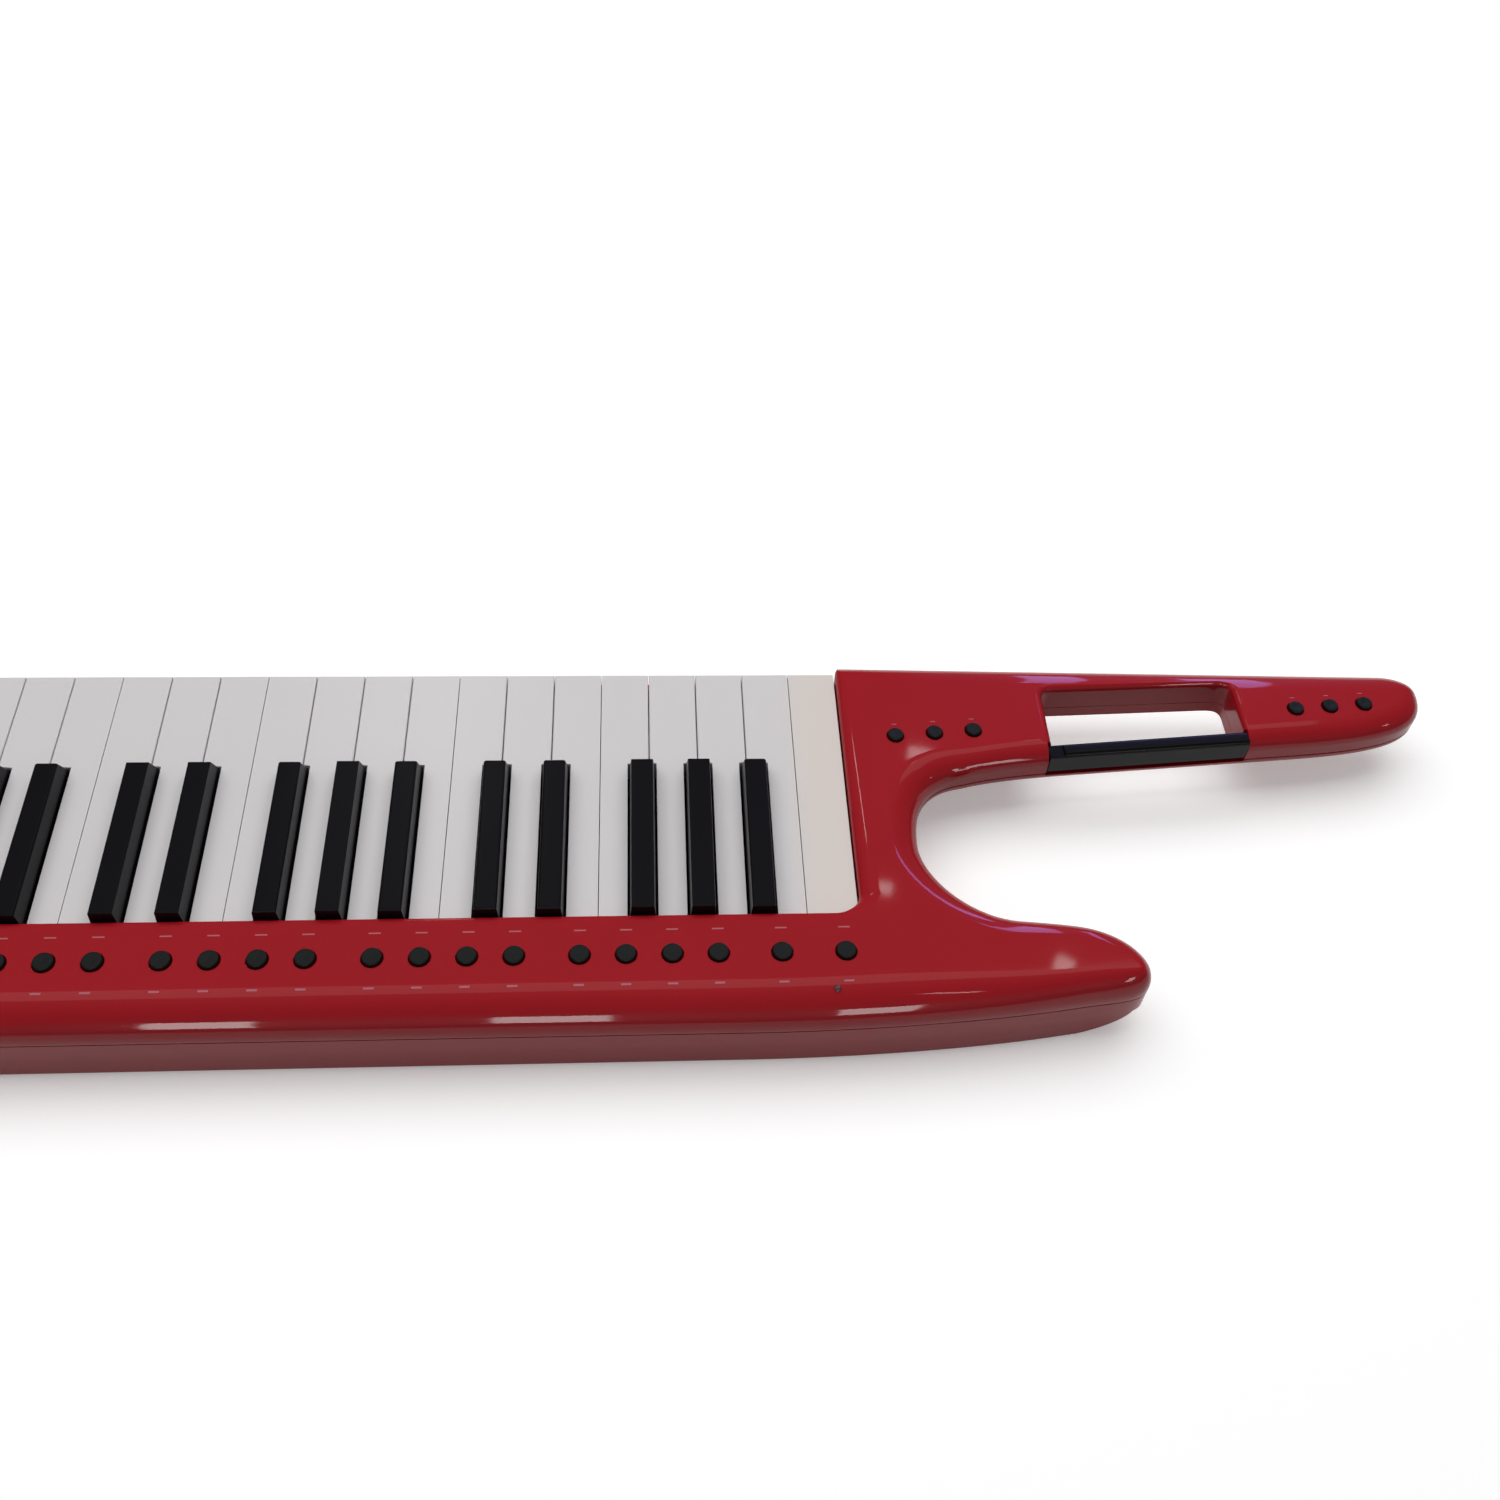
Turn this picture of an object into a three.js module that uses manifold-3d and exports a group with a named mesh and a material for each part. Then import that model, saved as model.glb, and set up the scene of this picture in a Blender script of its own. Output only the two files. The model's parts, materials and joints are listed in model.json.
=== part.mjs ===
// Keytar with 45 full-size keys, a grip cut-out, a hollow neck and an expression bar, in millimetres.
// +X runs to the treble end, +Y from the player's side to the panel side, and +Z up from the table.
// While pieces are made, X starts at the bass end of the keys, Y at the key fronts and Z at the table.
// The last lines move the whole instrument so that the origin lies under the middle of its overall box.
import * as THREE from "three";
import { mergeVertices } from "three/addons/utils/BufferGeometryUtils.js";
import Module from "manifold-3d";

const wasm = await Module();
wasm.setup();

// Fits that several pieces share
const RUNNING_GAP = 0.4; // between a moving piece and what guides it
const SEAT_GAP = 0.3; // between fixed pieces that meet
const OVERRUN = 6; // how far a cutting shape runs past the face it cuts
const LAP = 0.6; // how far fused shapes reach into each other
const SAME_PLACE = 0.01; // points closer than this are one point

// Keys
const WHITE_PITCH = 23.5;
const WHITE_COUNT = 27;
const KEY_GAP = 1;
const WHITE_LENGTH = 147.4; // front of a white key to the panel's edge
const WHITE_DROP = 6; // case's top to the white tops
const KEY_WALL = 2;
const KEY_ROOF = 2.5;
const WHITE_LIP = 18; // depth of a white key's front face
const KEY_DIP = 10; // how far a white key's front goes down
const BLACK_SETBACK = 58; // white key fronts to black key fronts
const BLACK_WIDTH = 13.7;
const BLACK_CROWN = 9.6;
const BLACK_RISE = 11; // black crown over the white tops
const BLACK_NOSE = 5; // how far the crown starts behind the black key's foot
const BLACK_ROOF = 4;
const HOOK_WIDTH = 6;
const HOOK_WALL = 2.5;
const TOE_REACH = 5; // how far a hook's toe runs under the rail
const TOE_HEIGHT = 2;
const TAIL_REACH = 5.2; // pivot to the end of a key's tail, and to its start
const TAIL_DROP = 4; // pivot down to the lower face of the tail

// Chassis: a rail in front, a plate, and a wall with the round hinge edge
const PIVOT_SETBACK = 8.6; // panel's edge to the hinge line
const PIVOT_DROP = 7; // white tops to the hinge line
const HINGE_RADIUS = 3;
const HINGE_WALL = 2.4;
const RAIL_SETBACK = 50; // key fronts to the rail's web
const RAIL_DROP = 20; // white tops to the rail's top
const RAIL_HALF_WIDTH = 12;
const RAIL_THICKNESS = 2;
const PLATE_THICKNESS = 1.8;
const GUIDE_DEPTH = 5; // size of a guide post along the key
const FELT_ROOM = 0.5; // room left over the rail at full dip

// Case
const CASE_HEIGHT = 44;
const SEAM_DROP = 15; // case's top to the lower edge of the upper case
const CASE_WALL = 3;
const CASE_FRONT = 4; // case front ahead of the key fronts
const FRONT_WALL_DROP = 12; // white tops to the wall in front of the keys
const KEYBED_CLEARANCE = 1; // end keys to the cheeks
const PANEL_DEPTH = 51.6; // panel's front edge to the rear wall
const PANEL_LIP = 2; // thickness of the panel's turned-down front edge
const LIP_CLEARANCE = 0.6; // white tops to the panel's lip
const BAY_CORNER_RADIUS = 12;
const CHEEK_CORNER_RADIUS = 6; // where a cheek meets the case's front, beside the keys
const CHEEK_EDGE_RADIUS = 5; // rounding over a cheek's upper edge, beside the keys
const TREBLE_CHEEK = 64.5;
const BASS_CHEEK = 31.5;
const FRONT_CORNER_RADIUS = 28;
const REAR_CORNER_RADIUS = 50;
const SHOULDER_RADIUS = 14; // rounding over the body's upper edge
const STEP_DROP = 26; // case's top to where the lower wall steps in
const STEP_INSET = 1.2;
const FOOT_RADIUS = 3;

// Horn and grip cut-out
const HORN_REACH = 130; // bass end of the keys to the horn's tip
const HORN_SWEEP = 50; // where the rear wall starts to bend, on the treble side of the lowest key
const HORN_LIFT = 16; // how far the horn's underside rises at its tip
const HORN_EDGE_RADIUS = 13;

// Neck
const NECK_REACH = 302; // bass end of the keys to the neck's tip
const NECK_ROOT = 115; // where the neck's rear edge becomes straight
const NECK_REAR = 57; // key fronts line to the rear edge of the neck at its root
const NECK_THICKNESS = 22;
const NECK_EDGE_RADIUS = 9;
const NECK_UNDER_RADIUS = 6;
const ROOT_FILLET = 10; // under the neck, where the body ends
const GRIP_START = 104; // bass end of the keys to the grip's opening
const GRIP_TIP = 99; // grip's opening to the neck's tip
const GRIP_LIMB = 17; // width of the front limb at the opening's start
const GRIP_LIMB_END = 10.6;
const GRIP_CORNER = 5;
const BAR_WIDTH = 8;
const BAR_HEIGHT = 12;
const BAR_DROP = 1.5; // bar's top under the neck's top
const BAR_TRAVEL = 2.5;
const BAR_EDGE = 2.5;
const BAR_POCKET = 1.5; // how far each end of the bar reaches into the neck
const STEM_RADIUS = 1.6;
const STEM_INSET = 14; // bar's end to its guide stem
const STEM_LENGTH = 4;

// Buttons
const PANEL_BUTTON_RADIUS = 4.6;
const NECK_BUTTON_RADIUS = 4.1;
const BUTTON_PROUD = 1.8;
const BUTTON_TRAVEL = 1;
const BUTTON_DOME = 0.5;
const WEB_THICKNESS = 1.6;
const WEB_MARGIN = 0.9; // web beyond the caps, to the sides
const BUTTON_ROW = 20.1; // panel's front edge to the row of buttons
const BUTTON_PITCH = 20.2;
const PAIR_START = 8.4;
const PAIR_PITCH = 28.2;
const QUAD_START = 64.5;
const QUAD_STEP = 88.9;
const QUAD_COUNT = 4;
const NECK_BUTTON_INSET = 18.5; // rear edge of the neck to its buttons
const NECK_BUTTON_PITCH = 19.5;
const TIP_BUTTON_PITCH = 18.2;
const NECK_BUTTON_START = 26.5;
const TIP_BUTTON_INSET = 69.7; // neck's tip to the first of its buttons

// Pieces inside and at the treble end
const BOARD_LENGTH = 430;
const BOARD_DEPTH = 20;
const BOARD_THICKNESS = 1.6;
const SWITCH_HEIGHT = 1.2; // on the board, under a button that is fully down
const POST_RADIUS = 3;
const BOSS_RADIUS = 4.6;
const SCREW_RADIUS = 3; // recess for a screw's head
const SCREW_DEPTH = 6;
const BOSS_INSET = 8; // outer wall to a boss's axis
const RIB_COUNT = 8;
const RIB_THICKNESS = 2;
const RIB_HEIGHT = 12;
const PLATE_DEPTH = 56; // jack plate, along Y
const PLATE_HEIGHT = 20;
const PLATE_WALL = 2.4;
const PLATE_LAP = 1.6; // plate behind the window's edge
const PLATE_START = 34; // key fronts line to the jack plate
const DIN_RADIUS = 7.6;
const JACK_RADIUS = 3.5;
const POWER_RADIUS = 3.5;
const SOCKET_DEPTH = 13;
const SOCKET_WALL = 1.6;
const PIN_HEAD_RADIUS = 6.5;
const PIN_NECK_RADIUS = 3;
const PIN_BASE_RADIUS = 5.4;
const PIN_LENGTH = 13;
const PIN_HEAD_LENGTH = 3.4;
const PIN_BASE_LENGTH = 2.4;
const NECK_PIN_REACH = 58;
const NECK_PIN_SETBACK = 24;
const END_PIN_SETBACK = 112;
const END_PIN_DROP = 20.6; // case's top to the end pin's axis

// Shares of the sizes above
const REAR_SLOPE_SHARE = 0.078; // neck's rear edge, per unit of reach
const FRONT_SLOPE_SHARE = 0.024; // neck's front edge, per unit of reach
const TIP_START_SHARE = 0.762; // where the neck's tip starts to round, of its reach
const TIP_SHARES = { rearPull: 0.911, frontPull: 0.977, frontEnd: 0.94 }; // of the neck's reach
const NOSE_SHARES = { rear: 0.62, middle: 0.3, front: 0.14 }; // of the neck's width at its tip
const ROOT_PULL_SHARE = 0.667; // of the reach of the neck's root
const BLACK_SHIFT_SHARES = { C: -0.098, D: 0.097, F: -0.1455, G: 0, A: 0.146 }; // of the pitch
const WHITE_NAMES = ["E", "F", "G", "A", "B", "C", "D"];
const BOSS_SHARES = [0.125, 0.375, 0.625, 0.875]; // of the row of keys
const POST_SHARES = [0.04, 0.27, 0.5, 0.73, 0.96]; // of the board's length
const SOCKET_SHARES = { din: 0.24, jack: 0.57, power: 0.81 }; // of the jack plate's length

// Pulls and ends of the curves round the horn, then the cut-out: shares of the way from the cut-out's
// deepest wall to the horn's tip, and of the case's depth
const SWEEP_SHARES = [[0.28, 0.975], [0.693, 0.937]];
const HORN_SHARES = [
  [[0.867, 0.92], [1, 0.914], [1, 0.855]],
  [[1, 0.81], [0.933, 0.79], [0.816, 0.776]],
  [[0.703, 0.762], [0.569, 0.744], [0.416, 0.739]],
  [[0.2, 0.728], [0, 0.613], [0, 0.522]],
  [[0, 0.402], [0.08, 0.342], [0.28, 0.326]],
];
const HORN_BOSS_SHARES = [0.733, 0.86];
const UNDER_HORN_SHARES = { floor: 0.467, start: 0.493, pull: 0.8 }; // of the same way

// Facets
const RIM_STEPS = 3;
const RIM_NEAR = 2; // neighbours on each side that hold a corner's inset back
const RIM_ROOM = 0.9; // share of the inset at which neighbours would meet
const CHEEK_STEPS = 2;
const UNDER_STEPS = 2;
const INNER_STEPS = 1;
const CURVE_STEPS = 5;
const NOTCH_STEPS = 2;
const CAP_SIDES = 10;
const BOSS_SIDES = 6;
const SOCKET_SIDES = 10;

// Places worked out from the sizes
const WHITE_TOP = CASE_HEIGHT - WHITE_DROP;
const PIVOT_HEIGHT = WHITE_TOP - PIVOT_DROP;
const RAIL_TOP = WHITE_TOP - RAIL_DROP;
const FRONT_WALL_HEIGHT = WHITE_TOP - FRONT_WALL_DROP;
const SEAM_HEIGHT = CASE_HEIGHT - SEAM_DROP;
const STEP_HEIGHT = CASE_HEIGHT - STEP_DROP;
const GRIP_LENGTH = NECK_REACH - GRIP_START - GRIP_TIP;
const TIP_BUTTON_START = NECK_REACH - TIP_BUTTON_INSET;
const KEYBED = WHITE_COUNT * WHITE_PITCH;
const REAR = WHITE_LENGTH + PANEL_DEPTH;
const TREBLE_END = KEYBED + KEYBED_CLEARANCE + TREBLE_CHEEK;
const CHEEK_FACE = KEYBED_CLEARANCE + BASS_CHEEK; // reach of the cut-out's deepest wall
const PIVOT = WHITE_LENGTH + PIVOT_SETBACK;
const TAIL_START = PIVOT - TAIL_REACH;
const TAIL_END = PIVOT + TAIL_REACH;
const PLATE_LOW = CASE_WALL + SEAT_GAP;
const RAIL_FRONT = RAIL_SETBACK - RAIL_HALF_WIDTH;
const RAIL_REAR = RAIL_SETBACK + RAIL_HALF_WIDTH;
const DIP_AT_RAIL = (KEY_DIP * (PIVOT - RAIL_FRONT)) / PIVOT;
const SKIRT_LOW = RAIL_TOP + DIP_AT_RAIL + FELT_ROOM;
const TOE_TOP = RAIL_TOP - RAIL_THICKNESS - RUNNING_GAP;
const LOWER_TOP = SEAM_HEIGHT - SEAT_GAP;
const NECK_LOW = CASE_HEIGHT - NECK_THICKNESS;
const BAR_TOP = CASE_HEIGHT - BAR_DROP;
const BAR_LOW = BAR_TOP - BAR_HEIGHT;
const RAIL_SEAT = BAR_LOW - BAR_TRAVEL - RUNNING_GAP; // top of the rail under the bar
const WEB_TOP = CASE_HEIGHT - CASE_WALL - SEAT_GAP;
const WEB_LOW = WEB_TOP - WEB_THICKNESS;
const BOARD_TOP = WEB_LOW - BUTTON_TRAVEL - SWITCH_HEIGHT;
const ROW = WHITE_LENGTH + BUTTON_ROW;
const BOARD_START = TAIL_END + KEY_WALL;
const PLATE_LIFT = CASE_WALL + FOOT_RADIUS + SEAT_GAP;

// A solid from a closed geometry.
function solid(geometry) {
  const bare = geometry.clone();
  bare.deleteAttribute("normal");
  bare.deleteAttribute("uv");
  const welded = mergeVertices(bare);
  const corners = welded.index.array;
  const faces = [];
  for (let i = 0; i < corners.length; i += 3) {
    const [a, b, c] = corners.slice(i, i + 3);
    if (a !== b && b !== c && c !== a) faces.push(a, b, c);
  }
  return new wasm.Manifold(
    new wasm.Mesh({
      numProp: 3,
      vertProperties: welded.attributes.position.array,
      triVerts: new Uint32Array(faces),
    }),
  );
}

// A block between two corners.
function block(x0, x1, y0, y1, z0, z1) {
  const geometry = new THREE.BoxGeometry(x1 - x0, y1 - y0, z1 - z0);
  geometry.translate((x0 + x1) / 2, (y0 + y1) / 2, (z0 + z1) / 2);
  return solid(geometry);
}

// A straight extrusion of a shape or list of points, upwards.
function prism(shape, z0, z1) {
  const flat = Array.isArray(shape) ? new THREE.Shape(shape) : shape;
  const options = { depth: z1 - z0, bevelEnabled: false, curveSegments: CURVE_STEPS };
  const geometry = new THREE.ExtrudeGeometry(flat, options);
  geometry.translate(0, 0, z0);
  return solid(geometry);
}

// A profile drawn in Y and Z, extruded along X.
function lengthwise(shape, x0, x1) {
  const flat = Array.isArray(shape) ? new THREE.Shape(shape) : shape;
  const options = { depth: x1 - x0, bevelEnabled: false, curveSegments: NOTCH_STEPS };
  const geometry = new THREE.ExtrudeGeometry(flat, options);
  const turn = new THREE.Matrix4().makeBasis(
    new THREE.Vector3(0, 1, 0),
    new THREE.Vector3(0, 0, 1),
    new THREE.Vector3(1, 0, 0),
  );
  geometry.applyMatrix4(turn);
  geometry.translate(x0, 0, 0);
  return solid(geometry);
}

// A profile drawn in X and Z, extruded along Y.
function crosswise(shape, y0, y1) {
  const flat = Array.isArray(shape) ? new THREE.Shape(shape) : shape;
  const options = { depth: y1 - y0, bevelEnabled: false, curveSegments: CURVE_STEPS };
  const geometry = new THREE.ExtrudeGeometry(flat, options);
  geometry.rotateX(Math.PI / 2);
  geometry.translate(0, y1, 0);
  return solid(geometry);
}

// An upright cylinder.
function column(x, y, z0, z1, radius, sides) {
  const geometry = new THREE.CylinderGeometry(radius, radius, z1 - z0, sides);
  geometry.rotateX(Math.PI / 2);
  geometry.translate(x, y, (z0 + z1) / 2);
  return solid(geometry);
}

// A cylinder along X.
function barrel(x0, x1, y, z, radius, sides) {
  const geometry = new THREE.CylinderGeometry(radius, radius, x1 - x0, sides);
  geometry.rotateZ(Math.PI / 2);
  geometry.translate((x0 + x1) / 2, y, z);
  return solid(geometry);
}

// A block whose upper face is smaller than its lower one; each face is [x0, x1, y0, y1].
function taper(low, z0, high, z1) {
  const geometry = new THREE.BoxGeometry(2, 2, 2);
  const place = geometry.attributes.position;
  for (let i = 0; i < place.count; i++) {
    const face = place.getZ(i) > 0 ? high : low;
    const x = place.getX(i) > 0 ? face[1] : face[0];
    const y = place.getY(i) > 0 ? face[3] : face[2];
    place.setXYZ(i, x, y, place.getZ(i) > 0 ? z1 : z0);
  }
  return solid(geometry);
}

function point(x, y) {
  return new THREE.Vector2(x, y);
}

// Edges of the neck at a distance from the bass end of the keys.
function rearEdge(reach) {
  return NECK_REAR - REAR_SLOPE_SHARE * (reach - NECK_ROOT);
}

function frontEdge(reach) {
  return FRONT_SLOPE_SHARE * reach - CASE_FRONT;
}

// A distance from the bass end of the keys, between the cut-out's deepest wall and the horn's tip.
function hornReach(share) {
  return THREE.MathUtils.lerp(CHEEK_FACE, HORN_REACH, share);
}

function hornPoint([reachShare, depthShare]) {
  return [-hornReach(reachShare), REAR * depthShare];
}

// The case seen from above, anticlockwise from the treble end's front corner.
function casePath() {
  const path = new THREE.Path();
  const tipStart = NECK_REACH * TIP_START_SHARE;
  const noseWidth = rearEdge(tipStart) - frontEdge(NECK_REACH);
  const noseY = (share) => frontEdge(NECK_REACH) + share * noseWidth;
  const rearPull = NECK_REACH * TIP_SHARES.rearPull;
  const frontPull = NECK_REACH * TIP_SHARES.frontPull;
  const frontEnd = NECK_REACH * TIP_SHARES.frontEnd;
  const rootPull = NECK_ROOT * ROOT_PULL_SHARE;
  path.moveTo(TREBLE_END - FRONT_CORNER_RADIUS, -CASE_FRONT);
  const frontCorner = [TREBLE_END - FRONT_CORNER_RADIUS, FRONT_CORNER_RADIUS - CASE_FRONT];
  path.absarc(...frontCorner, FRONT_CORNER_RADIUS, -Math.PI / 2, 0, false);
  const rearCorner = [TREBLE_END - REAR_CORNER_RADIUS, REAR - REAR_CORNER_RADIUS];
  path.absarc(...rearCorner, REAR_CORNER_RADIUS, 0, Math.PI / 2, false);
  path.lineTo(HORN_SWEEP, REAR);
  path.bezierCurveTo(0, REAR, ...SWEEP_SHARES.flatMap(hornPoint));
  HORN_SHARES.forEach((curve) => path.bezierCurveTo(...curve.flatMap(hornPoint)));
  path.quadraticCurveTo(-rootPull, rearEdge(rootPull), -NECK_ROOT, rearEdge(NECK_ROOT));
  path.lineTo(-tipStart, rearEdge(tipStart));
  path.bezierCurveTo(
    -rearPull,
    rearEdge(rearPull),
    -NECK_REACH,
    noseY(NOSE_SHARES.rear),
    -NECK_REACH,
    noseY(NOSE_SHARES.middle),
  );
  path.bezierCurveTo(
    -NECK_REACH,
    noseY(NOSE_SHARES.front),
    -frontPull,
    frontEdge(frontPull),
    -frontEnd,
    frontEdge(frontEnd),
  );
  path.lineTo(0, -CASE_FRONT);
  return path;
}

// Rounding of the upper edge at a place on the outline: full on the body's rear, less on neck and front.
function edgeRadius(x, y) {
  const slender = THREE.MathUtils.smoothstep(-x, BASS_CHEEK, HORN_REACH / 2);
  const rearward = THREE.MathUtils.smoothstep(y, 0, BLACK_SETBACK);
  const beyond = THREE.MathUtils.smoothstep(y, REAR / 3, REAR / 2);
  const limb = THREE.MathUtils.lerp(NECK_EDGE_RADIUS, HORN_EDGE_RADIUS, beyond);
  const full = THREE.MathUtils.lerp(SHOULDER_RADIUS, limb, slender);
  return THREE.MathUtils.lerp(NECK_EDGE_RADIUS, full, rearward);
}

// Outline points with their outward direction, mitred at corners, the edge's rounding there, and the
// room for an inset before a ring would fold over itself.
function rimPoints() {
  const all = casePath().getPoints(CURVE_STEPS);
  const points = all.filter((here, i) => here.distanceTo(all[(i + 1) % all.length]) > SAME_PLACE);
  const count = points.length;
  const rim = points.map((here, i) => {
    const before = points[(i + count - 1) % count];
    const after = points[(i + 1) % count];
    const first = here.clone().sub(before).normalize();
    const second = after.clone().sub(here).normalize();
    const along = first.clone().add(second).normalize();
    const mitre = 1 / along.dot(first);
    const turn = Math.tan(Math.asin(first.cross(second)) / 2);
    const { x, y } = here;
    return { x, y, outX: along.y * mitre, outY: -along.x * mitre, turn, run: here.distanceTo(after) };
  });
  const meeting = rim.map(({ run, turn }, i) => {
    const both = turn + rim[(i + 1) % count].turn;
    return both > 0 ? (RIM_ROOM * run) / both : Infinity;
  });
  return rim.map((corner, i) => {
    const near = (_, k) => meeting[(i + count + k - RIM_NEAR) % count];
    const room = Math.min(...Array.from({ length: 2 * RIM_NEAR }, near));
    return { ...corner, room, radius: Math.min(edgeRadius(corner.x, corner.y), room) };
  });
}

const RIM = rimPoints();

// A closed solid through levels with the same number of points, lowest first.
function loft(levels) {
  const count = levels[0].length;
  const faces = [];
  for (let level = 0; level + 1 < levels.length; level++) {
    for (let i = 0; i < count; i++) {
      const a = level * count + i;
      const b = level * count + ((i + 1) % count);
      faces.push(a, b, b + count, a, b + count, a + count);
    }
  }
  const last = (levels.length - 1) * count;
  for (const [a, b, c] of THREE.ShapeUtils.triangulateShape(levels[0], [])) {
    faces.push(a, c, b);
  }
  for (const [a, b, c] of THREE.ShapeUtils.triangulateShape(levels[levels.length - 1], [])) {
    faces.push(a + last, b + last, c + last);
  }
  const geometry = new THREE.BufferGeometry().setFromPoints(levels.flat());
  geometry.setIndex(faces);
  return solid(geometry);
}

// A closed solid through rings of the outline, lowest first; a ring gives each point's inset and height.
function stack(rings) {
  const levels = rings.map((ring) =>
    RIM.map((rim) => {
      const { inset, height } = ring(rim);
      const held = Math.min(inset, rim.room);
      return new THREE.Vector3(rim.x - rim.outX * held, rim.y - rim.outY * held, height);
    }),
  );
  return loft(levels);
}

// Rings over the rounded upper edge, for a surface that lies a wall's thickness inside the outer one.
function upperRings(wall, low, steps) {
  const rings = [() => ({ inset: wall, height: low })];
  for (let step = 0; step <= steps; step++) {
    const angle = (Math.PI / 2) * (step / steps);
    rings.push((rim) => {
      const radius = rim.radius - wall;
      const inset = wall + radius * (1 - Math.cos(angle));
      return { inset, height: CASE_HEIGHT - rim.radius + radius * Math.sin(angle) };
    });
  }
  return rings;
}

// Rings of a tray: a rounded lower edge, an optional step in the wall, and the rim.
function trayRings(low, radius, inset, top, steps) {
  const rings = [];
  for (let step = 0; step <= steps; step++) {
    const angle = (Math.PI / 2) * (step / steps);
    const height = low + radius * (1 - Math.cos(angle));
    const ring = { inset: inset + radius * (1 - Math.sin(angle)), height };
    rings.push(() => ring);
  }
  return rings.concat(top.map((ring) => () => ring));
}

// The grip's opening in the neck, grown outwards by a margin.
function gripShape(margin) {
  const start = GRIP_START - margin;
  const end = GRIP_START + GRIP_LENGTH + margin;
  const slope = (GRIP_LIMB - GRIP_LIMB_END) / GRIP_LENGTH;
  const far = (reach) => frontEdge(reach) + GRIP_LIMB - slope * (reach - GRIP_START) - margin;
  const near = (reach) => rearEdge(reach) - BAR_WIDTH;
  const corner = GRIP_CORNER + margin;
  const shape = new THREE.Shape();
  shape.moveTo(-start, near(start));
  shape.lineTo(-end, near(end));
  shape.lineTo(-end, far(end) + 2 * corner);
  const inner = end - 2 * corner;
  shape.bezierCurveTo(-end, far(end) + corner / 2, -end, far(end), -inner, far(inner));
  shape.lineTo(-start - corner, far(start + corner));
  shape.quadraticCurveTo(-start, far(start), -start, far(start) + corner);
  return shape;
}

// The bar's pocket across the neck's rear edge, grown by a margin.
function pocketShape(margin) {
  const start = GRIP_START - BAR_POCKET - margin;
  const end = GRIP_START + GRIP_LENGTH + BAR_POCKET + margin;
  const lean = BAR_WIDTH * REAR_SLOPE_SHARE;
  const far = (reach) => rearEdge(reach) - BAR_WIDTH - margin;
  const out = NECK_REAR + OVERRUN;
  return [
    point(lean - start, far(start)),
    point(-start, rearEdge(start)),
    point(-start, out),
    point(-end, out),
    point(-end, rearEdge(end)),
    point(lean - end, far(end)),
  ];
}

// The bay that the keys lie in, with round corners in the rear and at the cheeks' fronts; a margin
// widens it towards the cheeks.
function bayShape(margin) {
  const x0 = -KEYBED_CLEARANCE;
  const x1 = KEYBED + KEYBED_CLEARANCE;
  const front = -CASE_FRONT - OVERRUN;
  const shape = new THREE.Shape();
  const radius = BAY_CORNER_RADIUS;
  const corner = CHEEK_CORNER_RADIUS;
  const right = Math.PI / 2;
  shape.moveTo(x0 - corner, front);
  shape.lineTo(x1 + corner, front);
  shape.absarc(x1 + corner, corner - CASE_FRONT, corner - margin, -right, -Math.PI, true);
  shape.absellipse(x1 - radius, WHITE_LENGTH - radius, radius + margin, radius, 0, right);
  shape.absellipse(x0 + radius, WHITE_LENGTH - radius, radius + margin, radius, right, Math.PI);
  shape.absarc(x0 - corner, corner - CASE_FRONT, corner - margin, 0, -right, true);
  return shape;
}

// The bay's cutting shape, which leaves the upper edge of each cheek rounded.
function bayCutter() {
  const level = (margin, height) =>
    bayShape(margin)
      .getPoints(CURVE_STEPS)
      .map(({ x, y }) => new THREE.Vector3(x, y, height));
  const radius = CHEEK_EDGE_RADIUS;
  const levels = [level(0, SEAM_HEIGHT - OVERRUN)];
  for (let step = 0; step <= CHEEK_STEPS; step++) {
    const angle = (Math.PI / 2) * (step / CHEEK_STEPS);
    const height = CASE_HEIGHT - radius * (1 - Math.sin(angle));
    levels.push(level(radius * (1 - Math.cos(angle)), height));
  }
  levels.push(level(radius, CASE_HEIGHT + OVERRUN));
  return loft(levels);
}

// The space of the keys and their tails under the panel.
function keySpace(margin, low, high) {
  const x0 = -KEYBED_CLEARANCE - margin;
  const x1 = KEYBED + KEYBED_CLEARANCE + margin;
  return block(x0, x1, -CASE_FRONT - OVERRUN, TAIL_END + KEYBED_CLEARANCE, low, high);
}

// Axes of the bosses that hold the two case halves together, as [x, y].
function bossPlaces() {
  const rear = REAR - BOSS_INSET;
  const cheek = KEYBED + KEYBED_CLEARANCE + TREBLE_CHEEK / 2;
  const limb = GRIP_START - BOSS_INSET;
  const tip = NECK_REACH - 2 * BOSS_INSET;
  return [
    ...BOSS_SHARES.map((share) => [KEYBED * share, rear]),
    [cheek, REAR - REAR_CORNER_RADIUS],
    [cheek, 2 * BOSS_INSET],
    [-CHEEK_FACE / 2, WHITE_LENGTH],
    hornPoint(HORN_BOSS_SHARES),
    [-CHEEK_FACE / 2, BOSS_INSET],
    [-limb, frontEdge(limb) + BOSS_INSET],
    [-tip, frontEdge(tip) + 2 * BOSS_INSET],
  ];
}

function bossColumns(low, high) {
  const columns = bossPlaces().map(([x, y]) => column(x, y, low, high, BOSS_RADIUS, BOSS_SIDES));
  return columns.reduce((all, next) => all.add(next));
}

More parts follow.
